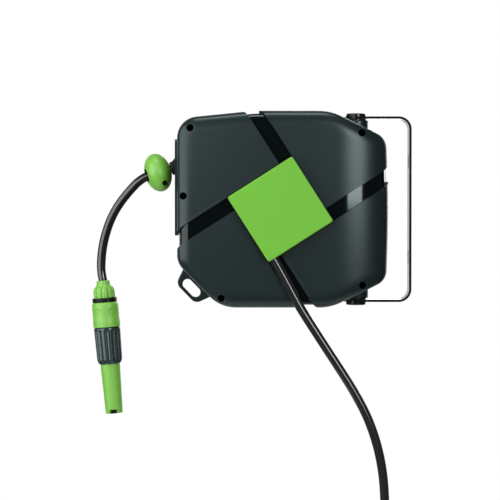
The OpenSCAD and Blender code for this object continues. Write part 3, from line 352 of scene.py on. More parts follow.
def cut(obj, tools, sharp=SHARP):
    for tool in tools:
        mod = obj.modifiers.new("cut", "BOOLEAN")
        mod.operation, mod.solver, mod.object = "DIFFERENCE", "EXACT", tool
    bake(obj, sharp)
    for tool in tools:
        bpy.data.objects.remove(tool, do_unlink=True)


def thicken(obj, wall, even=False):
    """Give an open skin a wall on its inner side."""
    mod = obj.modifiers.new("wall", "SOLIDIFY")
    mod.thickness, mod.offset, mod.use_even_offset = wall * MM, -1.0, even
    bake(obj)


def soften(obj, width, angle=50, segments=3):
    mod = obj.modifiers.new("edges", "BEVEL")
    mod.width, mod.segments = width * MM, segments
    mod.limit_method, mod.angle_limit = "ANGLE", math.radians(angle)


def rounded(points, radius, steps=5):
    """A closed line with its corners rounded; radius is one number or one for each point."""
    out, n = [], len(points)
    for k in range(n):
        r = radius[k] if isinstance(radius, (list, tuple)) else radius
        v = Vector(points[k])
        a, b = Vector(points[k - 1]) - v, Vector(points[(k + 1) % n]) - v
        la, lb = a.length, b.length
        if r <= 0 or la < TINY or lb < TINY:
            out.append(tuple(v))
            continue
        a, b = a / la, b / lb
        half = math.acos(max(-1.0, min(1.0, a.dot(b)))) / 2
        if half > math.pi / 2 - NO_TURN:
            out.append(tuple(v))
            continue
        reach = min(r / math.tan(half), CORNER_SHARE * la, CORNER_SHARE * lb)
        r = reach * math.tan(half)
        c = v + (a + b).normalized() * r / math.sin(half)
        p, q = v + a * reach - c, v + b * reach - c
        start = math.atan2(p.y, p.x)
        turn = (math.atan2(q.y, q.x) - start + math.pi) % (2 * math.pi) - math.pi
        angles = [start + turn * i / steps for i in range(steps + 1)]
        out += [(c.x + r * math.cos(t), c.y + r * math.sin(t)) for t in angles]
    return out


def divided(line, step, beyond):
    """A closed profile of (radius, station) with its runs split where they lie beyond a radius."""
    out = []
    for (r0, s0), (r1, s1) in zip(line, line[1:] + line[:1]):
        steps = max(1, int(abs(s1 - s0) / step)) if min(r0, r1) > beyond else 1
        out += [(r0 + (r1 - r0) * i / steps, s0 + (s1 - s0) * i / steps) for i in range(steps)]
    return out


def lathe(name, profile, n, at, mat, body=None, slot=None, shape=None, sharp=SHARP):
    """A closed profile of (radius, station) turned about the local Z.

    A shape moves a point of the profile by its angle.
    """
    verts, faces, m = [], [], len(profile)
    for i in range(n):
        a = 2 * math.pi * i / n
        for r, s in profile:
            if shape:
                r, s = shape(r, s, a)
            verts.append((r * math.cos(a), r * math.sin(a), s))
    for i in range(n):
        for j in range(m):
            a, b = i * m, ((i + 1) % n) * m
            k = (j + 1) % m
            if profile[j][0] < MERGE and profile[k][0] < MERGE:
                continue
            faces.append((a + j, b + j, b + k, a + k))
    return piece(name, verts, faces, mat, body, slot, at, sharp)


def prism(name, loop, low, high, at, mat=BLACK, body=None, slot=None):
    n = len(loop)
    verts = [(x, y, low) for x, y in loop] + [(x, y, high) for x, y in loop]
    faces = [tuple(range(n - 1, -1, -1)), tuple(range(n, 2 * n))]
    faces += [(k, (k + 1) % n, n + (k + 1) % n, n + k) for k in range(n)]
    return piece(name, verts, faces, mat, body, slot, at)


def circle(r, n, x=0.0, y=0.0):
    angles = [2 * math.pi * k / n for k in range(n)]
    return [(x + r * math.cos(a), y + r * math.sin(a)) for a in angles]


def stadium(length, width, at, turn, n):
    """A slot's outline: two half circles and the straight runs between them."""
    c, s = math.cos(turn), math.sin(turn)
    out = []
    for side in (1, -1):
        for k in range(n + 1):
            a = -math.pi / 2 + math.pi * k / n
            x = side * ((length - width) / 2 + width / 2 * math.cos(a))
            y = side * width / 2 * math.sin(a)
            out.append((at[0] + c * x - s * y, at[1] + s * x + c * y))
    return out


def stack(rows, fan=False):
    """Faces between rows of equal length that close on themselves.

    Both ends are filled, and the last one by a fan if wanted.
    """
    n, last = len(rows[0]), (len(rows) - 1) * len(rows[0])
    verts = [p for row in rows for p in row]
    faces = [(i * n + k, (i + 1) * n + k, (i + 1) * n + (k + 1) % n, i * n + (k + 1) % n)
             for i in range(len(rows) - 1) for k in range(n)]
    faces.append(tuple(range(n)))
    if fan:
        verts.append(tuple(sum(p[axis] for p in rows[-1]) / n for axis in range(3)))
        return verts, faces + [(last + k, last + (k + 1) % n, last + n) for k in range(n)]
    return verts, faces + [tuple(range(last, last + n))]


def hoop(rows):
    """Faces between rows of equal length that close on themselves, the last row with the first."""
    n, m = len(rows), len(rows[0])
    faces = [(i * m + k, (i + 1) % n * m + k, (i + 1) % n * m + (k + 1) % m, i * m + (k + 1) % m)
             for i in range(n) for k in range(m)]
    return [p for row in rows for p in row], faces


def smooth_line(points, steps):
    """The curve through the points that the source uses, with more steps."""
    out, n = [], len(points)
    for i in range(n - 1):
        a, b = points[max(i - 1, 0)], points[i]
        c, d = points[i + 1], points[min(i + 2, n - 1)]
        for j in range(steps):
            t = j / steps
            out.append((2 * b + (c - a) * t + (2 * a - 5 * b + 4 * c - d) * t * t
                        + (3 * b - a - 3 * c + d) * t ** 3) / 2)
    return out + [points[-1]]


def tube(name, path, r, sides, mat, body, slot):
    """A round tube along a line, with closed ends."""
    verts, faces, n = [], [], len(path)
    u = (path[1] - path[0]).normalized().orthogonal().normalized()
    for i in range(n):
        along = (path[min(i + 1, n - 1)] - path[max(i - 1, 0)]).normalized()
        u = (u - along * u.dot(along)).normalized()
        v = along.cross(u)
        for k in range(sides):
            c, s = turned(360 * k / sides)
            verts.append(path[i] + (u * c + v * s) * r)
    for i in range(n - 1):
        low, high = i * sides, (i + 1) * sides
        for k in range(sides):
            j = (k + 1) % sides
            faces.append((low + k, low + j, high + j, high + k))
    faces += [tuple(range(sides - 1, -1, -1)), tuple(range((n - 1) * sides, n * sides))]
    return piece(name, verts, faces, mat, body, slot)


def hose_curve(name, path, mat, body):
    data = bpy.data.curves.new(name, "CURVE")
    data.dimensions = "3D"
    data.bevel_depth, data.bevel_resolution, data.use_fill_caps = HOSE_R * MM, 6, True
    line = data.splines.new("POLY")
    line.points.add(len(path) - 1)
    for p, v in zip(line.points, path):
        p.co = (*(v * MM), 1)
    line.use_smooth = True
    data.materials.append(mat)
    obj = bpy.data.objects.new(name, data)
    scene.collection.objects.link(obj)
    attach(obj, body)
    return obj


def length(path):
    return sum((b - a).length for a, b in zip(path, path[1:])) * MM


# -------- casing outline
ARC, LEAST_R, STRAIGHT_STEP = 14, 2.0, 4


def corner(a, v, b, r, inset):
    """Points of one rounded corner of the outline, moved in."""
    a, v, b = Vector(a), Vector(v), Vector(b)
    ta, tb = (a - v).normalized(), (b - v).normalized()
    half = math.acos(ta.dot(tb)) / 2
    mid = (ta + tb).normalized()
    r = max(r - inset, LEAST_R)
    tip = v + mid * inset / math.sin(half)
    c = tip + mid * r / math.sin(half)
    f = tip + ta * r / math.tan(half) - c
    start, turn = math.atan2(f.y, f.x), math.pi - 2 * half
    angles = [start + turn * i / (ARC - 1) for i in range(ARC)]
    return [(c.x + r * math.cos(t), c.y + r * math.sin(t)) for t in angles]


def corners(inset):
    n = len(OUTLINE)
    return [corner(OUTLINE[k - 1], OUTLINE[k], OUTLINE[(k + 1) % n], OUTLINE_R[k], inset)
            for k in range(n)]


FULL = corners(0)
STRAIGHT = [max(1, int(math.dist(c[-1], d[0]) / STRAIGHT_STEP))
            for c, d in zip(FULL, FULL[1:] + FULL[:1])]


@lru_cache(None)
def outline(inset):
    """Points of the outline moved in; a point keeps its number at every inset."""
    cs, out = corners(inset), []
    for k, c in enumerate(cs):
        (x0, y0), (x1, y1), n = c[-1], cs[(k + 1) % len(cs)][0], STRAIGHT[k]
        out += c
        out += [(x0 + (x1 - x0) * i / n, y0 + (y1 - y0) * i / n) for i in range(1, n)]
    return out


LOOP = len(outline(0.0))


def on_loop(t, inset):
    """The point at a number along the outline, which may lie between two of its points."""
    pts = outline(round(inset, 4))
    i = math.floor(t)
    a, b, q = pts[i % LOOP], pts[(i + 1) % LOOP], t - i
    return a[0] + (b[0] - a[0]) * q, a[1] + (b[1] - a[1]) * q


def crown(x, inset=0.0):
    """Height of the face over the middle of the casing, which falls towards the wall."""
    t = max(0.0, min(1.0, (x - RIGHT + END_CURVE) / (END_CURVE - inset)))
    return NOSE_F - inset + (FACE_F - NOSE_F) * math.sqrt(1 - t * t)


def dome(x, y):
    """The front is slightly domed."""
    return -DOME * (x * x + y * y) / HALF_H ** 2


PANEL_GAP = 0.35
BAND_IN, PANEL_FROM = PLATE_SIDE / 2 - BAND_W, PLATE_SIDE / 2 + PANEL_GAP


@lru_cache(None)
def ends(k, inset):
    """Where panel k's two edge lines cross the outline, as numbers along it."""
    c, s = turned(PLATE_TURN + 90 * k)
    pts = [(c * x + s * y, -s * x + c * y) for x, y in outline(round(inset, 4))]
    a = b = None
    for i in range(LOOP):
        p, q = pts[i], pts[(i + 1) % LOOP]
        if p[1] > 0 and p[0] > BAND_IN >= q[0]:
            a = i + (p[0] - BAND_IN) / (p[0] - q[0])
        if p[0] < 0 and p[1] > PANEL_FROM >= q[1]:
            b = i + (p[1] - PANEL_FROM) / (p[1] - q[1])
    return a, b if b > a else b + LOOP


def edge_profile(run, drop, steps=16, power=0.8):
    """The rounded edge from the face to the side, with no jump in its curvature.

    Each point has its inset, its drop and its length along the edge.
    """
    out, far = [(run, 0.0, 0.0)], 0.0
    for i in range(1, steps + 1):
        c, s = turned(90 * i / steps)
        a, b = run * (1 - s ** power), drop * (1 - abs(c) ** power if i < steps else 1)
        far += math.dist(out[-1][:2], (a, b))
        out.append((a, b, far))
    return out


EDGE_RUN = 20.0
EDGE = edge_profile(EDGE_RUN, EDGE_R)
SIDE_INSET = EDGE_RUN - EDGE[-1][2]

# -------- casing
SKIN_GAP, SEAM = 0.1, 0.15
SKIN_T = BAND_DEPTH - SKIN_GAP
PANEL_STEPS, WALL_SHARES = 36, (0.7, 0.4, 0.15, 0.0)
PANEL_SOFT, REAR_SOFT, LUG_SOFT = 1.1, 0.9, 1.2
SCREW_HOLE_R, SCREW_HOLE_F, OVERRUN = 4.6, 8, 8
# Rows of the face, as shares of the curved end
CROWN_SHARES = (0.04, 0.09, 0.15, 0.22, 0.3, 0.39, 0.5, 0.62, 0.74)


def cut_screw_holes(obj):
    holes = [circle(SCREW_HOLE_R, HOLE_SIDES, x, y) for x, y in SCREWS]
    cut(obj, [prism("tool", hole, SCREW_HOLE_F, FACE_F + OVERRUN, AT_DRUM) for hole in holes])


def panel(k):
    """One of the four outer panels: its face, its rounded edge and its side wall."""
    n, cols = PANEL_STEPS, 2 * PANEL_STEPS + 1
    c, s = turned(PLATE_TURN + 90 * k)
    inner = Vector((c * BAND_IN - s * PANEL_FROM, s * BAND_IN + c * PANEL_FROM))
    ta, tb = ends(k, EDGE_RUN)
    rim = [Vector(on_loop(ta + (tb - ta) * j / (cols - 1), EDGE_RUN)) for j in range(cols)]
    a, b, m = rim[0], rim[-1], rim[n]
    verts, faces, grid = [], [], {}
    for i in range(n + 1):
        for j in range(n + 1):
            u, v = i / n, j / n
            p = (inner.lerp(b, u) * (1 - v) + rim[i] * v
                 + inner.lerp(a, v) * (1 - u) + rim[cols - 1 - j] * u
                 - (inner * (1 - u) * (1 - v) + b * u * (1 - v) + a * (1 - u) * v + m * u * v))
            grid[i, j] = len(verts)
            verts.append((p.x, p.y, crown(p.x) + dome(p.x, p.y)))
    for i in range(n):
        for j in range(n):
            faces.append((grid[i, j], grid[i, j + 1], grid[i + 1, j + 1], grid[i + 1, j]))
    last = [grid[j, n] if j <= n else grid[n, cols - 1 - j] for j in range(cols)]
    rows = [(EDGE_RUN - far, inset, drop, 1.0) for inset, drop, far in EDGE[1:]]
    rows += [(SIDE_INSET, 0.0, EDGE_R, share) for share in WALL_SHARES]
    for line, inset, drop, share in rows:
        ta, tb = ends(k, line)
        row = []
        for j in range(cols):
            x, y = on_loop(ta + (tb - ta) * j / (cols - 1), inset)
            row.append(len(verts))
            verts.append((x, y, (crown(x) + dome(x, y) - drop) * share + SEAM * (1 - share)))
        for j in range(cols - 1):
            faces.append((last[j], row[j], row[j + 1], last[j + 1]))
        last = row
    obj = piece("panel_%d" % (k + 1), verts, faces, *COVER, AT_DRUM, outward=False)
    if obj.data.polygons[0].normal.y > 0:
        obj.data.flip_normals()
    thicken(obj, SKIN_T, True)
    cut_screw_holes(obj)
    soften(obj, PANEL_SOFT, segments=4)
    return obj


def band_rows():
    """The shell under the panels, moved in from them on its side and on its face."""
    deep = BAND_DEPTH
    rows = [[(x, y, 0.0) for x, y in outline(deep)]]
    skin = [(deep + inset, drop)
            for inset, drop, _ in reversed(edge_profile(EDGE_RUN - deep, EDGE_R - deep))]
    skin += [(EDGE_RUN + share * END_CURVE, 0.0) for share in CROWN_SHARES]
    for inset, drop in skin:
        rows.append([(x, y, crown(x, deep) + dome(x, y) - drop)
                     for x, y in outline(round(inset, 4))])
    return rows


panels = [panel(k) for k in range(4)]
band_shell = piece("band_shell", *stack(band_rows(), True), BANDS, "casing", "casing_plastic",
                   AT_DRUM)
cut_screw_holes(band_shell)
for obj in panels + [band_shell]:
    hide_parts("front_cover")

# Rear cover: where the rim of its sunk back ends, and how deep and wide the step is
REAR_RIM, REAR_SUNK, REAR_STEPS, REAR_STEP = 26.0, 1.8, 8, 0.3
REAR_INSETS = sorted([EDGE_RUN + share * END_CURVE for share in CROWN_SHARES]
                     + [REAR_RIM + REAR_STEP * i for i in range(REAR_STEPS + 1)])
REAR_WALL, REAR_WALL_SHARE = ((0.0, 1), (0.35, 1), (0.7, 1), (1.0, 1), (1.0, 0)), 0.6
PANEL_COLS, BAND_COLS = 60, 10


def rear_rows():
    """The rear cover: its side wall carries the ends of the bands, its back is sunk in a rim."""
    columns = []
    for k in range(4):
        ta, tb = ends(k, SIDE_INSET)
        to = ends((k + 1) % 4, SIDE_INSET)[0]
        while to < tb:
            to += LOOP
        columns += [(ta + (tb - ta) * j / PANEL_COLS, 0.0) for j in range(PANEL_COLS + 1)]
        columns += [(tb + (to - tb) * j / BAND_COLS, 1.0) for j in range(BAND_COLS + 1)]
    rows = []
    for share, deep in REAR_WALL:
        row = []
        for t, groove in columns:
            x, y = on_loop(t, BAND_DEPTH * groove * deep)
            wall = min(REAR_WALL_SHARE * FACE_F, crown(on_loop(t, 0.0)[0]) - EDGE_R)
            row.append((x, y, -SEAM - (wall - SEAM) * share))
        rows.append(row)
    skin = [(inset, drop) for inset, drop, _ in reversed(EDGE)]
    skin += [(inset, REAR_SUNK * ease(inset, REAR_RIM, REAR_RIM + REAR_STEP * REAR_STEPS))
             for inset in REAR_INSETS]
    for inset, drop in skin:
        points = [on_loop(t, inset) for t, _ in columns]
        rows.append([(x, y, drop - crown(x)) for x, y in points])
    return rows


rear_shell = piece("rear_shell", *stack(rear_rows(), True), *COVER, AT_DRUM)
soften(rear_shell, REAR_SOFT)
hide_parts("rear_cover")

# Lug with its slot, on the sloping lower corner: along and out from its middle, and the rounding
LUG_CORNERS = ((-27, -15.6, 4.8), (27, -15.6, 4.8), (17.6, 10.3, 10), (-17.6, 10.3, 10))
LUG_BACK, LUG_OUT, LUG_T, LUG_SLOT = 3.5, 10.8, 8, (27, 12.6)
LUG_ARC, SLOT_ARC, SLOT_REACH = 10, 14, 20


def hook_lug():
    a, b = Vector(OUTLINE[5]), Vector(OUTLINE[6])
    along = (b - a).normalized()
    out = Vector((along.y, -along.x))
    mid = (a + b) / 2 - along * LUG_BACK + out * LUG_OUT
    loop = [tuple(mid + along * sx + out * sy) for sx, sy, _ in LUG_CORNERS]
    lug = prism("hook_lug", rounded(loop, [r for *_, r in LUG_CORNERS], LUG_ARC), -LUG_T, 0,
                AT_DRUM, *COVER)
    slot = stadium(*LUG_SLOT, mid, math.atan2(along.y, along.x), SLOT_ARC)
    cut(lug, [prism("tool", slot, -SLOT_REACH, SLOT_REACH, AT_DRUM)])
    soften(lug, LUG_SOFT)
    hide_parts("rear_cover")


hook_lug()

# Bosses of the swing axis
BOSS_ROUND, BOSS_SIDES = [0, 0, 1.1, 0.4], 64
for word, side in (("top", 1), ("bottom", -1)):
    at = basis(X, (0, side, 0), (0, 0, side), (PIVOT_X, 0, 0))
    low, high = PIVOT_TOP - BOSS_L, PIVOT_TOP
    line = [(BOSS_BORE_R, low), (BOSS_R, low), (BOSS_R, high), (BOSS_BORE_R, high)]
    boss = lathe("boss_" + word, rounded(line, BOSS_ROUND), BOSS_SIDES, at, *COVER)
    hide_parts("front_cover", "rear_cover")

# -------- centre plate
PLATE_CORNER_R, PLATE_INNER_R, PLATE_EDGE_R = 2.6, 0.8, 1.1
PLATE_GAP, PLATE_SIDE_F, PLATE_ARC, PLATE_INSETS = 0.1, 5, (22, 45, 68, 90), (3.0, 12)
# Gate for the feed hose, in the plate's frame
GATE = [(-46.4, -70), (-33, -70), (-33, -30), (-46.4, -30)]
GATE_LOW, GATE_HIGH, GATE_ROOM = 40, 80, 0.45
# Inset and height over the panels of a black rim round the plate, a dark piece that paints the
# shade of the gap round it
SHADE_RIM = ((1.5, -0.6), (-1.0, -0.6), (-1.35, 0), (-1.35, 1.3), (-1.0, 1.8), (1.5, 1.8))


def plate_row(inset, f):
    h = PLATE_SIDE / 2 - inset
    square = [(h, -h), (h, h), (-h, h), (-h, -h)]
    r = max(PLATE_CORNER_R - inset, PLATE_INNER_R)
    return [(x, y, f) for x, y in rounded(square, r, steps=6)]


heights = (FLOOR_F + PLATE_GAP, PLATE_F - PLATE_SIDE_F, PLATE_F - PLATE_EDGE_R)
rows = [plate_row(0, f) for f in heights]
for a in PLATE_ARC:
    c, s = turned(a)
    rows.append(plate_row(PLATE_EDGE_R * (1 - c), PLATE_F - PLATE_EDGE_R * (1 - s)))
rows += [plate_row(inset, PLATE_F) for inset in PLATE_INSETS]
verts, faces = stack(rows)
plate = piece("centre_plate_cover", verts, faces[:-2] + faces[-1:], PLATE, "casing",
              "green_plastic", AT_PLATE)
if max(plate.data.polygons, key=lambda p: p.area).normal.y > 0:
    plate.data.flip_normals()
thicken(plate, PLATE_T)
cut(plate, [prism("tool", GATE, GATE_LOW, HOSE_F + HOSE_R + GATE_ROOM, AT_PLATE)])
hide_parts("centre_plate")

# Black rim round the plate's foot: painted shade for the gap round the plate
rows = [plate_row(inset, FACE_F + rise) for inset, rise in SHADE_RIM]
shade_rim = piece("plate_lip", *hoop(rows), SEAL, "casing", "seal_rubber", AT_PLATE)
cut(shade_rim, [prism("tool", GATE, GATE_LOW, GATE_HIGH, AT_PLATE)])

# -------- ball stop
MOUTH_LEAN, MOUTH_UP = 31, 3
LEAN_C, LEAN_S = turned(MOUTH_LEAN)
AT_MOUTH = AT_BALL @ basis(X, (0, LEAN_C, LEAN_S), (0, -LEAN_S, LEAN_C), (0, 0, MOUTH_UP))
# The hose holes as (radius, station): straight along the hose, and leaning to the front
FLARE = [(HOSE_R + 0.15, -24), (HOSE_R + 0.15, 5), (6.4, 9), (7.4, 12.5), (8.4, 15.5), (9.6, 18),
         (9.6, 30)]
LEANING = [(7.0, 0), (7.0, 3), (7.4, 8), (8.1, 11.5), (9.0, 14), (10.1, 16), (10.1, 30)]
BALL_SEAM, BALL_SOFT, BALL_STEP, BALL_SIDES = 0.12, 0.7, 5, 40
BALL_SCREW_R, BALL_SCREW_AT, BALL_SCREW_LOW, BALL_SCREW_HIGH = 3.4, (15.5, -5.5), 8.6, 40
# Black lining of the hose hole, a dark sheet that paints the shade inside it: inset of its inner
# and outer wall, where it starts, how far below the skin it ends, and its steps
SHADE_LINING_IN, SHADE_LINING_OUT, SHADE_LINING_FROM, SHADE_LINING_SUNK, SHADE_LINING_STEPS = 0.75, 0.05, -4, 0.35, 8
RIM_STEPS = 40
# A block that takes away what of a hole's dark lining lies in the other half
BLOCK, BLOCK_FAR = [(-30, -30), (30, -30), (30, 30), (-30, 30)], 60


def to_skin(at, r, a):
    """How far along the frame's Z a line at a radius and an angle meets the ball."""
    lean = AT_BALL.inverted() @ at
    o = lean @ Vector((r * math.cos(a), r * math.sin(a), 0))
    d = lean.to_3x3() @ Vector((0, 0, 1))
    squeeze = Vector((1 / BALL_R, 1 / BALL_R, 1 / BALL_HALF))
    o, d = o * squeeze, d * squeeze
    b = o.dot(d)
    return (-b + math.sqrt(max(0.0, b * b - d.dot(d) * (o.dot(o) - 1)))) / d.dot(d)


def bore(way, s):
    """Radius of a hose hole at a station."""
    for (r0, s0), (r1, s1) in zip(way, way[1:]):
        if s <= s1:
            return r0 + (r1 - r0) * max(0.0, s - s0) / (s1 - s0)
    return way[-1][0]


def mouth_rim(at, way, a):
    """Station where a hose hole comes out of the ball at an angle, a little below the skin."""
    low, high = way[0][1], way[-1][1]
    for _ in range(RIM_STEPS):
        mid = (low + high) / 2
        inside = mid < to_skin(at, bore(way, mid), a) - SHADE_LINING_SUNK
        low, high = (mid, high) if inside else (low, mid)
    return low


def hole_tool(way, at):
    return lathe("tool", [(0, way[0][1])] + way + [(0, way[-1][1])], HOLE_SIDES, at, GREEN)


def ball_half(word, side, at, way):
    """One half of the ball stop, and a black lining in its hose hole that paints the shade inside
    the hole.
    """
    arc = [(BALL_R * c, BALL_HALF * s) for c, s in map(turned, range(-90, 91, BALL_STEP))]
    verts, m, n = [], len(arc), BALL_SIDES
    for i in range(n + 1):
        a = math.pi * i / n
        verts += [(r * math.cos(a), side * (r * math.sin(a) + BALL_SEAM), z) for r, z in arc]
    faces = [(i * m + j, (i + 1) * m + j, (i + 1) * m + j + 1, i * m + j + 1)
             for i in range(n) for j in range(m - 1)]
    faces.append(tuple(range(m)) + tuple(n * m + j for j in range(m - 2, 0, -1)))
    ball = piece("ball_half_" + word, verts, faces, GREEN, "hose_end", "green_plastic", AT_BALL)
    tools = [hole_tool(way, at)]
    if at != AT_BALL:
        tools.append(hole_tool(FLARE, AT_BALL))
    screw = circle(BALL_SCREW_R, BALL_SIDES, side * BALL_SCREW_AT[0], BALL_SCREW_AT[1])
    tools.append(prism("tool", screw, BALL_SCREW_LOW, BALL_SCREW_HIGH,
                       AT_BALL @ basis(X, Z, (0, side, 0))))
    cut(ball, tools)
    soften(ball, BALL_SOFT, angle=45)
    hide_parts("ball_" + word)

    low = max(way[0][1], SHADE_LINING_FROM)
    walls = [(SHADE_LINING_IN, i / SHADE_LINING_STEPS) for i in range(SHADE_LINING_STEPS + 1)]
    walls += [(SHADE_LINING_OUT, 1 - i / SHADE_LINING_STEPS) for i in range(SHADE_LINING_STEPS + 1)]

    def shade_lining_shape(inset, share, a):
        station = low + (mouth_rim(at, way, a) - low) * share
        return bore(way, station) - inset, station

    # The black lining paints the shade inside the hose hole
    shade_lining = lathe("ball_liner_" + word, walls, HOLE_SIDES, at, SEAL, "hose_end", "seal_rubber",
                  shade_lining_shape, ROUND_SHARP)
    away = (-BALL_SEAM, BLOCK_FAR) if side < 0 else (-BLOCK_FAR, BALL_SEAM)
    cut(shade_lining, [prism("tool", BLOCK, *away, AT_BALL @ basis(X, (0, 0, -1), Y))], ROUND_SHARP)


ball_half("front", -1, AT_MOUTH, LEANING)
ball_half("rear", 1, AT_BALL, FLARE)

# -------- connectors and nozzle
# Profiles as (radius, station), each with the rounding of its corners
NUT = [(6.1, 0), (7.5, 0), (8.4, 0.9), (8.6, 5.2), (9.6, 6.8), (12.4, 9.2), (13.4, 11.6),
       (13.7, 14.5), (13.7, 18), (13.6, 21.6), (12.9, NUT_L), (10.2, NUT_L), (10.2, 12), (6.1, 12)]
NUT_ROUND = [0.2, 0.7, 1.0, 1.4, 1.6, 1.8, 2, 1.2, 0.6, 0.8, 0.6, 0, 0, 0]
RING = [(13.95, 21.9), (15.6, 21.9), (15.6, 27.5), (13.95, 27.5)]
RING_ROUND = [0.5, 1.5, 1.5, 0.3]
COLLAR = [(13.1, COLLAR_AT), (COLLAR_R - 2.2, COLLAR_AT), (COLLAR_R - 0.5, COLLAR_AT + 3),
          (COLLAR_R - 0.3, COLLAR_AT + 8), (COLLAR_R - 0.35, COLLAR_AT + 20),
          (COLLAR_R + 0.1, COLLAR_AT + 25), (COLLAR_R + 0.1, COLLAR_END - 0.4),
          (COLLAR_R - 0.8, COLLAR_END), (13.1, COLLAR_END)]
COLLAR_ROUND = [0.3, 1.8, 2.4, 3, 5, 4, 0.5, 0.4, 0.3]
GRIP_LINE = [(4, 39), (8.07, 39), (8.07, GRIP_AT + 0.5), (8.07, GRIP_AT), (GRIP_R - 0.3, GRIP_AT),
             (GRIP_R - 0.1, GRIP_AT + 3), (GRIP_R - 0.9, GRIP_END - 5), (14.3, GRIP_END - 0.3),
             (13.2, GRIP_END), (11.4, GRIP_END), (11.4, 79.6), (4, 79.6)]
GRIP_ROUND = [0.3, 0.6, 0, 0, 1.0, 1.5, 1.6, 0.8, 0.4, 0.3, 0, 0]
TIP = [(8, TIP_AT - 15.9), (11.3, TIP_AT - 15.9), (11.3, TIP_AT), (TIP_R, TIP_AT),
       (TIP_R, TIP_AT + 2), (TIP_END_R + 0.15, TIP_END - 6.5), (TIP_END_R + 0.08, TIP_END - 4),
       (TIP_END_R, TIP_END - 0.8), (TIP_END_R - 0.6, TIP_END), (7.8, TIP_END), (7.4, TIP_END - 0.5),
       (7.4, TIP_END - 6.5), (7.4, TIP_END - 9.2), (5.2, TIP_END - 9.4), (5.2, TIP_END - 10),
       (8, TIP_END - 20)]
TIP_ROUND = [0.3, 0.6, 0, 0.6, 3, 2, 0, 0.5, 0.4, 0.2, 0, 0, 0.3, 0.3, 0, 0]
INSERT = [(5.3, TIP_END - 9), (7.35, TIP_END - 9), (7.35, TIP_END - 3.4), (7.3, TIP_END - 0.6),
          (6.7, TIP_END + 0.3), (5.9, TIP_END + 0.3), (5.3, TIP_END - 0.5)]
INSERT_ROUND = [0, 0.2, 0, 0.4, 0.4, 0.3, 0.3]
# Ribs: how many, how deep, and how broad their tops are
NUT_RIBS, NUT_RIB_DEEP, NUT_RIB_POWER = 9, 2.0, 0.38
GRIP_RIBS, GRIP_RIB_DEEP, GRIP_RIB_POWER = 12, 1.7, 0.55
INSERT_RIBS, INSERT_RIB_DEEP, INSERT_RIB_POWER = 8, 0.9, 0.5
TIP_NOTCHES, TIP_NOTCH_DEEP, TIP_NOTCH_EDGE = 3, 5.0, 0.15
# Radii up to which a profile stays round: bores, necks and inner walls
NUT_BORE_R, NUT_NECK_R, NUT_NECK_L = 7, 9.4, 6.0
COLLAR_BORE_R, GRIP_BORE_R, TIP_BORE_R, INSERT_BORE_R = 15, 14.2, 6.5, 6
# Shallow oval pads on a collar
PAD_TURNS, PAD_AT, PAD_HALF_TURN, PAD_HALF, PAD_DEEP = (52, 128, 232, 308), 41, 27, 6.2, 0.55
PAD_FLAT = 0.78
# Stations between which ribs and notches fade in, or out
NUT_FADE = (NUT_NECK_L, NUT_NECK_L + 3.5)
GRIP_FADE, GRIP_FADE_OUT = (GRIP_AT + 1.5, GRIP_AT + 4), (GRIP_END - 5, GRIP_END - 1.5)
TIP_FADE, INSERT_FADE = (TIP_END - 6.5, TIP_END - 0.3), (TIP_END - 3.4, TIP_END - 2.6)
# Sides round each piece, the length of a step along its ribs, and the radius where steps begin
NUT_SIDES, RING_SIDES, COLLAR_SIDES = 180, 96, 120
GRIP_SIDES, TIP_SIDES, INSERT_SIDES = 192, 192, 96
RIB_STEP, GRIP_STEP, NUT_SPLIT_R, GRIP_SPLIT_R = 0.8, 1.2, 8, 14


def ribs(a, n, power):
    """1 on the ribs and 0 in the grooves between them; a low power makes the grooves narrow."""
    return abs(math.sin(n * a / 2)) ** power


def nut_shape(r, s, a):
    if r < NUT_NECK_R and s > NUT_NECK_L or r < NUT_BORE_R:
        return r, s
    along = ease(s, *NUT_FADE)
    return r - NUT_RIB_DEEP * (1 - ribs(a, NUT_RIBS, NUT_RIB_POWER)) * along, s


def collar_shape(r, s, a):
    if r < COLLAR_BORE_R:
        return r, s
    for mid in PAD_TURNS:
        d = (math.degrees(a) - mid + 180) % 360 - 180
        far = math.hypot(d / PAD_HALF_TURN, (s - PAD_AT) / PAD_HALF)
        r -= PAD_DEEP * (1 - ease(far, PAD_FLAT, 1.0))
    return r, s


def grip_shape(r, s, a):
    if r < GRIP_BORE_R or s < GRIP_AT:
        return r, s
    along = ease(s, *GRIP_FADE) * (1 - ease(s, *GRIP_FADE_OUT))
    return r - GRIP_RIB_DEEP * (1 - ribs(a, GRIP_RIBS, GRIP_RIB_POWER)) * along, s


def tip_shape(r, s, a):
    if r <= TIP_BORE_R:
        return r, s
    wave = math.cos(TIP_NOTCHES * (a + math.pi / 2))
    notch = ease(wave, -TIP_NOTCH_EDGE, TIP_NOTCH_EDGE)
    return r, s - TIP_NOTCH_DEEP * notch * ease(s, *TIP_FADE)


def insert_shape(r, s, a):
    if r <= INSERT_BORE_R:
        return r, s
    along = ease(s, *INSERT_FADE)
    return r - INSERT_RIB_DEEP * (1 - ribs(a, INSERT_RIBS, INSERT_RIB_POWER)) * along, s


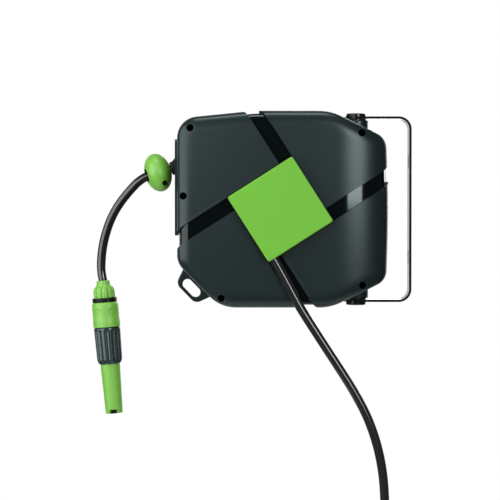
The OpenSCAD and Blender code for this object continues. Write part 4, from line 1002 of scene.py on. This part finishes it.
def connector(prefix, at, carrier, sleeve):
    """Hose nut, black ring and sliding collar, with the nodes they stand for."""
    nut_line = divided(rounded(NUT, NUT_ROUND), RIB_STEP, NUT_SPLIT_R)
    collar_line = divided(rounded(COLLAR, COLLAR_ROUND), RIB_STEP, COLLAR_BORE_R)
    nut = lathe(prefix + "_nut_ribbed", nut_line, NUT_SIDES, at, GREEN, carrier, "green_plastic",
                nut_shape, ROUND_SHARP)
    ring = lathe(prefix + "_ring_seal", rounded(RING, RING_ROUND, steps=8), RING_SIDES, at, SEAL,
                 sleeve, "black_plastic")
    collar = lathe(prefix + "_collar_sleeve", collar_line, COLLAR_SIDES, at, GREEN, sleeve,
                   "green_plastic", collar_shape, ROUND_SHARP)
    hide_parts(prefix + "_nut")
    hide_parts(prefix + "_ring")
    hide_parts(prefix + "_collar")
    return [nut, ring, collar]


coupler = connector("coupler", AT_NOZZLE, "hose_end", "hose_sleeve")
feed_end = connector("feed", AT_FEED, "casing", "feed_sleeve")
grip_line = divided(rounded(GRIP_LINE, GRIP_ROUND), GRIP_STEP, GRIP_SPLIT_R)
grip = lathe("nozzle_grip_ribbed", grip_line, GRIP_SIDES, AT_NOZZLE, GRIP, "nozzle", "grip_plastic",
             grip_shape, ROUND_SHARP)
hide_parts("nozzle_grip")
tip = lathe("nozzle_tip_tapered", rounded(TIP, TIP_ROUND, steps=4), TIP_SIDES, AT_NOZZLE, GREEN,
            "tip", "green_plastic", tip_shape, ROUND_SHARP)
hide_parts("nozzle_tip")
insert = lathe("nozzle_tip_insert", rounded(INSERT, INSERT_ROUND, steps=4), INSERT_SIDES, AT_NOZZLE,
               SEAL, "tip", "black_plastic", insert_shape, ROUND_SHARP)

# -------- hoses
TAIL_STEPS, FEED_STEPS, COIL_STEP = 6, 8, 7.5
tail_points = [BALL_AT + OUT * BALL_GRIP] + [BALL_AT + Vector((x, 0, z)) for x, z in TAIL_ROUTE]
tail_path = smooth_line(tail_points + [NOZZLE_TOP, NOZZLE_TOP + DOWN * HOSE_IN_NUT], TAIL_STEPS)
tail = hose_curve("hose_hanging", tail_path, RUBBER, "hose_end")
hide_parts("hose_tail")

elbow_c, elbow_s = turned(ELBOW_TURN)
feed_points = [in_face((ELBOW_L + FEED_GAP) * elbow_c, (ELBOW_L + FEED_GAP) * elbow_s, HOSE_F)]
feed_points += [in_face(x, z, HOSE_F) for x, z in FEED_ROUTE]
feed_path = smooth_line(feed_points, FEED_STEPS)
feed_path += [coil_point(COIL_STEP * i) for i in range(int(360 * COIL_TURNS / COIL_STEP) + 1)]
feed_path += [COIL_END, COIL_END - Vector((0, 0, HOSE_IN_NUT))]
feed = hose_curve("feed_hose_line", feed_path, FEED, "casing")
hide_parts("feed_hose", "feed_coil")

# Strap round the coil: inset and station of its rows, and its flap
STRAP_ROOM = 4
STRAP_ROWS = ((1.3, -4.5), (0.35, -4.5), (0.0, -4.1), (0.0, 0.0), (0.0, 4.1), (0.35, 4.5),
              (1.3, 4.5), (1.3, 0.0))
FLAP_IN, FLAP_OUT = -HOSE_R - 2.0, -HOSE_R - 3.2
FLAP = [(FLAP_IN, 6, -4), (FLAP_IN, -9, -4), (FLAP_IN, -9, 4), (FLAP_IN, 6, 4),
        (FLAP_OUT, 5, -3.6), (FLAP_OUT, -8.4, -3.6), (FLAP_OUT, -8.4, 3.6), (FLAP_OUT, 5, 3.6)]
FLAP_FACES = ((3, 2, 1, 0), (4, 5, 6, 7), (0, 1, 5, 4), (1, 2, 6, 5), (2, 3, 7, 6), (3, 0, 4, 7))
strap_at = in_face(COIL_MID[0] - COIL_R, COIL_MID[1], (coil_f(180) + coil_f(540)) / 2)
rows = []
for inset, z in STRAP_ROWS:
    across = HOSE_D + STRAP_ROOM - 2 * inset
    loop = stadium(COIL_PITCH + HOSE_D + STRAP_ROOM - 2 * inset, across, (0, 0), math.pi / 2, 12)
    rows.append([(x, y, z) for x, y in loop])
verts, faces = hoop(rows)
faces += [tuple(len(verts) + i for i in face) for face in FLAP_FACES]
strap = piece("coil_strap", verts + FLAP, faces, STRAP, "casing", "black_plastic",
              basis(X, Y, Z, strap_at), sharp=40)
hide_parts("feed_tie")

# Length between the drum and the ball stop, along the mouth's line
DRUM_LEFT, LEAD_GAP, LEAD_STEPS, LEAD_PAST, LEAD_SIDES = -111.793, 2.0, 10, 20, 24
LEAD_FROM, LEAD_TO = DRUM_LEFT + HOSE_D + LEAD_GAP, BALL_S + BALL_GRIP
# Where it stretches, and the length from there that has fine steps
# Start and end of the span that has fine steps, the length from its start that has them, and how
# many there are
STRETCH_FROM, STRETCH_TO, FINE_L, FINE_STEPS = -12, 5, 24, 60
stations = [LEAD_FROM + (STRETCH_FROM - LEAD_FROM) * i / LEAD_STEPS for i in range(LEAD_STEPS)]
stations += [STRETCH_FROM + FINE_L * i / FINE_STEPS for i in range(FINE_STEPS + 1)]
stations += [LEAD_PAST, LEAD_TO]
lead = tube("hose_drawn", [AT_OUTLET @ Vector((0, 0, s)) for s in stations], HOSE_R, LEAD_SIDES,
            RUBBER, None, None)
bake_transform(lead)
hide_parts("hose_lead")

# Hose wound on the drum: three full layers and part of the fourth, whose last half turn lies aside
# of the mouth's line. Each stretch has its layer, its turns, and where it ends and starts.
WIND_REACH, WIND_ASIDE = DRUM_HALF - HOSE_R - 0.5, -13.0
WINDING = [(3, 0.5, WIND_ASIDE, 0.0), (3, 1.5, -WIND_REACH, WIND_ASIDE),
           (2, 5.0, WIND_REACH, -WIND_REACH), (1, 5.0, -WIND_REACH, WIND_REACH),
           (0, 5.0, WIND_REACH, -WIND_REACH)]
TURN_STEPS, CLIMB, CLIMB_STEPS, WOUND_SIDES, WOUND_GAP = 24, 120, 8, 12, 0.1


def wound_point(layer, angle, f):
    c, s = turned(angle)
    r = HUB_R + (layer + 0.5) * HOSE_D
    return AT_DRUM @ Vector((r * c, r * s, f))


wound, angle = [], 90 + OUTLET_TILT
for k, (layer, count, f0, f1) in enumerate(WINDING):
    steps = int(count * TURN_STEPS)
    for i in range(1 if k == 1 else 0, steps + 1):
        wound.append(wound_point(layer, angle - 360 * count * i / steps,
                                 f0 + (f1 - f0) * (1 - i / steps)))
    angle -= 360 * count
    if k and layer:
        for i in range(1, CLIMB_STEPS):
            q = i / CLIMB_STEPS
            wound.append(wound_point(layer - ease(q, 0, 1), angle - CLIMB * q, f0))
        angle -= CLIMB
wound_hose = tube("hose_wound", wound, HOSE_R - WOUND_GAP, WOUND_SIDES, RUBBER, "drum",
                  "hose_rubber")
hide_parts("hose_core", "hose_winding")

# -------- CAD nodes that stay
KEPT = {
    STEEL_PAINT: ["wall_bracket", "pivot_pin_top", "pivot_pin_bottom"],
    BLACK: ["pivot_bush_top", "pivot_bush_bottom", "inlet_elbow", "coupler_body", "feed_body",
            "nozzle_core", "drum_barrel", "drum_flange", "drum_pipe", "spring_cover",
            "ratchet_ring", "roller_upper", "roller_lower"],
    GUIDE: ["outlet_guide"],
    NATURAL: ["drum_bush", "pawl"],
    SEAL: ["inlet_seals", "nozzle_seal", "tip_seal"],
    ZINC: ["inlet_circlip", "feed_clamp", "roller_pins", "pawl_pin", "drum_screws", "spring_arbor"],
    OXIDE: ["casing_screws", "ball_screws"],
    SPRING: ["main_spring", "pawl_spring"],
}
SOFT_EDGES = {"wall_bracket": 0.5, "outlet_guide": 1.0, "pivot_bush_top": 0.3,
              "pivot_bush_bottom": 0.3, "inlet_elbow": 0.3}
for mat, names in KEPT.items():
    for name in names:
        obj = nodes[name]
        obj.data.materials.clear()
        obj.data.materials.append(mat)
        if name in SOFT_EDGES:
            soften(obj, SOFT_EDGES[name], angle=40)

# -------- stage and light
# Plain level, level that gloss shows in front, and where the white behind starts and is full
AMBIENT, FRONT_GLOSS, BEHIND_FROM, BEHIND_FULL = 0.19, 0.05, 0.55, 0.95
MIDDLE = (-0.17, 0.0, 0.0)
FLOOR_X, FLOOR_R, FLOOR_DROP, FLOOR_SIDES = -0.2, 0.65, 0.25, 96


def studio():
    """White for the camera and behind the object, and a plain level elsewhere."""
    world = bpy.data.worlds.new("studio")
    scene.world = world
    world.use_nodes = True
    tree = world.node_tree
    link = tree.links.new
    sky, path = tree.nodes["Background"], add(tree, "ShaderNodeLightPath")
    where, split = add(tree, "ShaderNodeTexCoord"), add(tree, "ShaderNodeSeparateXYZ")
    link(where.outputs["Generated"], split.inputs["Vector"])
    behind = span(tree, BEHIND_FROM, BEHIND_FULL, FRONT_GLOSS, 1.0)
    link(split.outputs["Y"], behind.inputs["Value"])
    shiny = add(tree, "ShaderNodeMath", operation="MAXIMUM")
    link(path.outputs["Is Glossy Ray"], shiny.inputs[0])
    link(path.outputs["Is Transmission Ray"], shiny.inputs[1])
    around = add(tree, "ShaderNodeMix", {"A": AMBIENT})
    link(shiny.outputs[0], around.inputs["Factor"])
    link(behind.outputs["Result"], around.inputs["B"])
    level = add(tree, "ShaderNodeMix", {"B": 1.0})
    link(path.outputs["Is Camera Ray"], level.inputs["Factor"])
    link(around.outputs["Result"], level.inputs["A"])
    link(level.outputs["Result"], sky.inputs["Strength"])
    fill(sky, {"Color": (1, 1, 1, 1)})


def softbox(name, at, width, height, radiance):
    """A rectangular lamp that faces the middle of the casing."""
    lamp = bpy.data.lights.new(name, "AREA")
    lamp.shape, lamp.size, lamp.size_y = "RECTANGLE", width, height
    lamp.energy = radiance * math.pi * width * height
    obj = bpy.data.objects.new(name, lamp)
    scene.collection.objects.link(obj)
    obj.location = at
    obj.rotation_euler = (Vector(MIDDLE) - Vector(at)).to_track_quat("-Z", "Y").to_euler()


def round_from(turn, far, z):
    """A place round the object, turned from its front to the right."""
    c, s = turned(turn)
    return MIDDLE[0] + far * s, -far * c, z


studio()
# Place, width, height and radiance of each lamp
softbox("box_right", round_from(28, 2.5, 0.5), 0.85, 1.0, 8.0)
softbox("box_left", round_from(-55, 1.4, 0.25), 1.6, 1.6, 2.5)
softbox("box_front", round_from(-16, 2.2, 0.45), 0.5, 0.5, 2.9)
softbox("box_back", round_from(155, 1.8, 0.5), 1.3, 1.3, 2.2)
softbox("box_top", (MIDDLE[0], -0.5, 2.3), 1.3, 0.8, 5.4)

floor_z = cad_box[0][2] - FLOOR_DROP
mesh = bpy.data.meshes.new("floor")
mesh.from_pydata([(x + FLOOR_X, y, floor_z) for x, y in circle(FLOOR_R, FLOOR_SIDES)], [],
                 [tuple(range(FLOOR_SIDES))])
floor = bpy.data.objects.new("floor", mesh)
scene.collection.objects.link(floor)
mesh.materials.append(surface("floor_pale", (0.86, 0.86, 0.86), 0.7, spread=0.02, patch=3, grain=60,
                              bump=0.02))
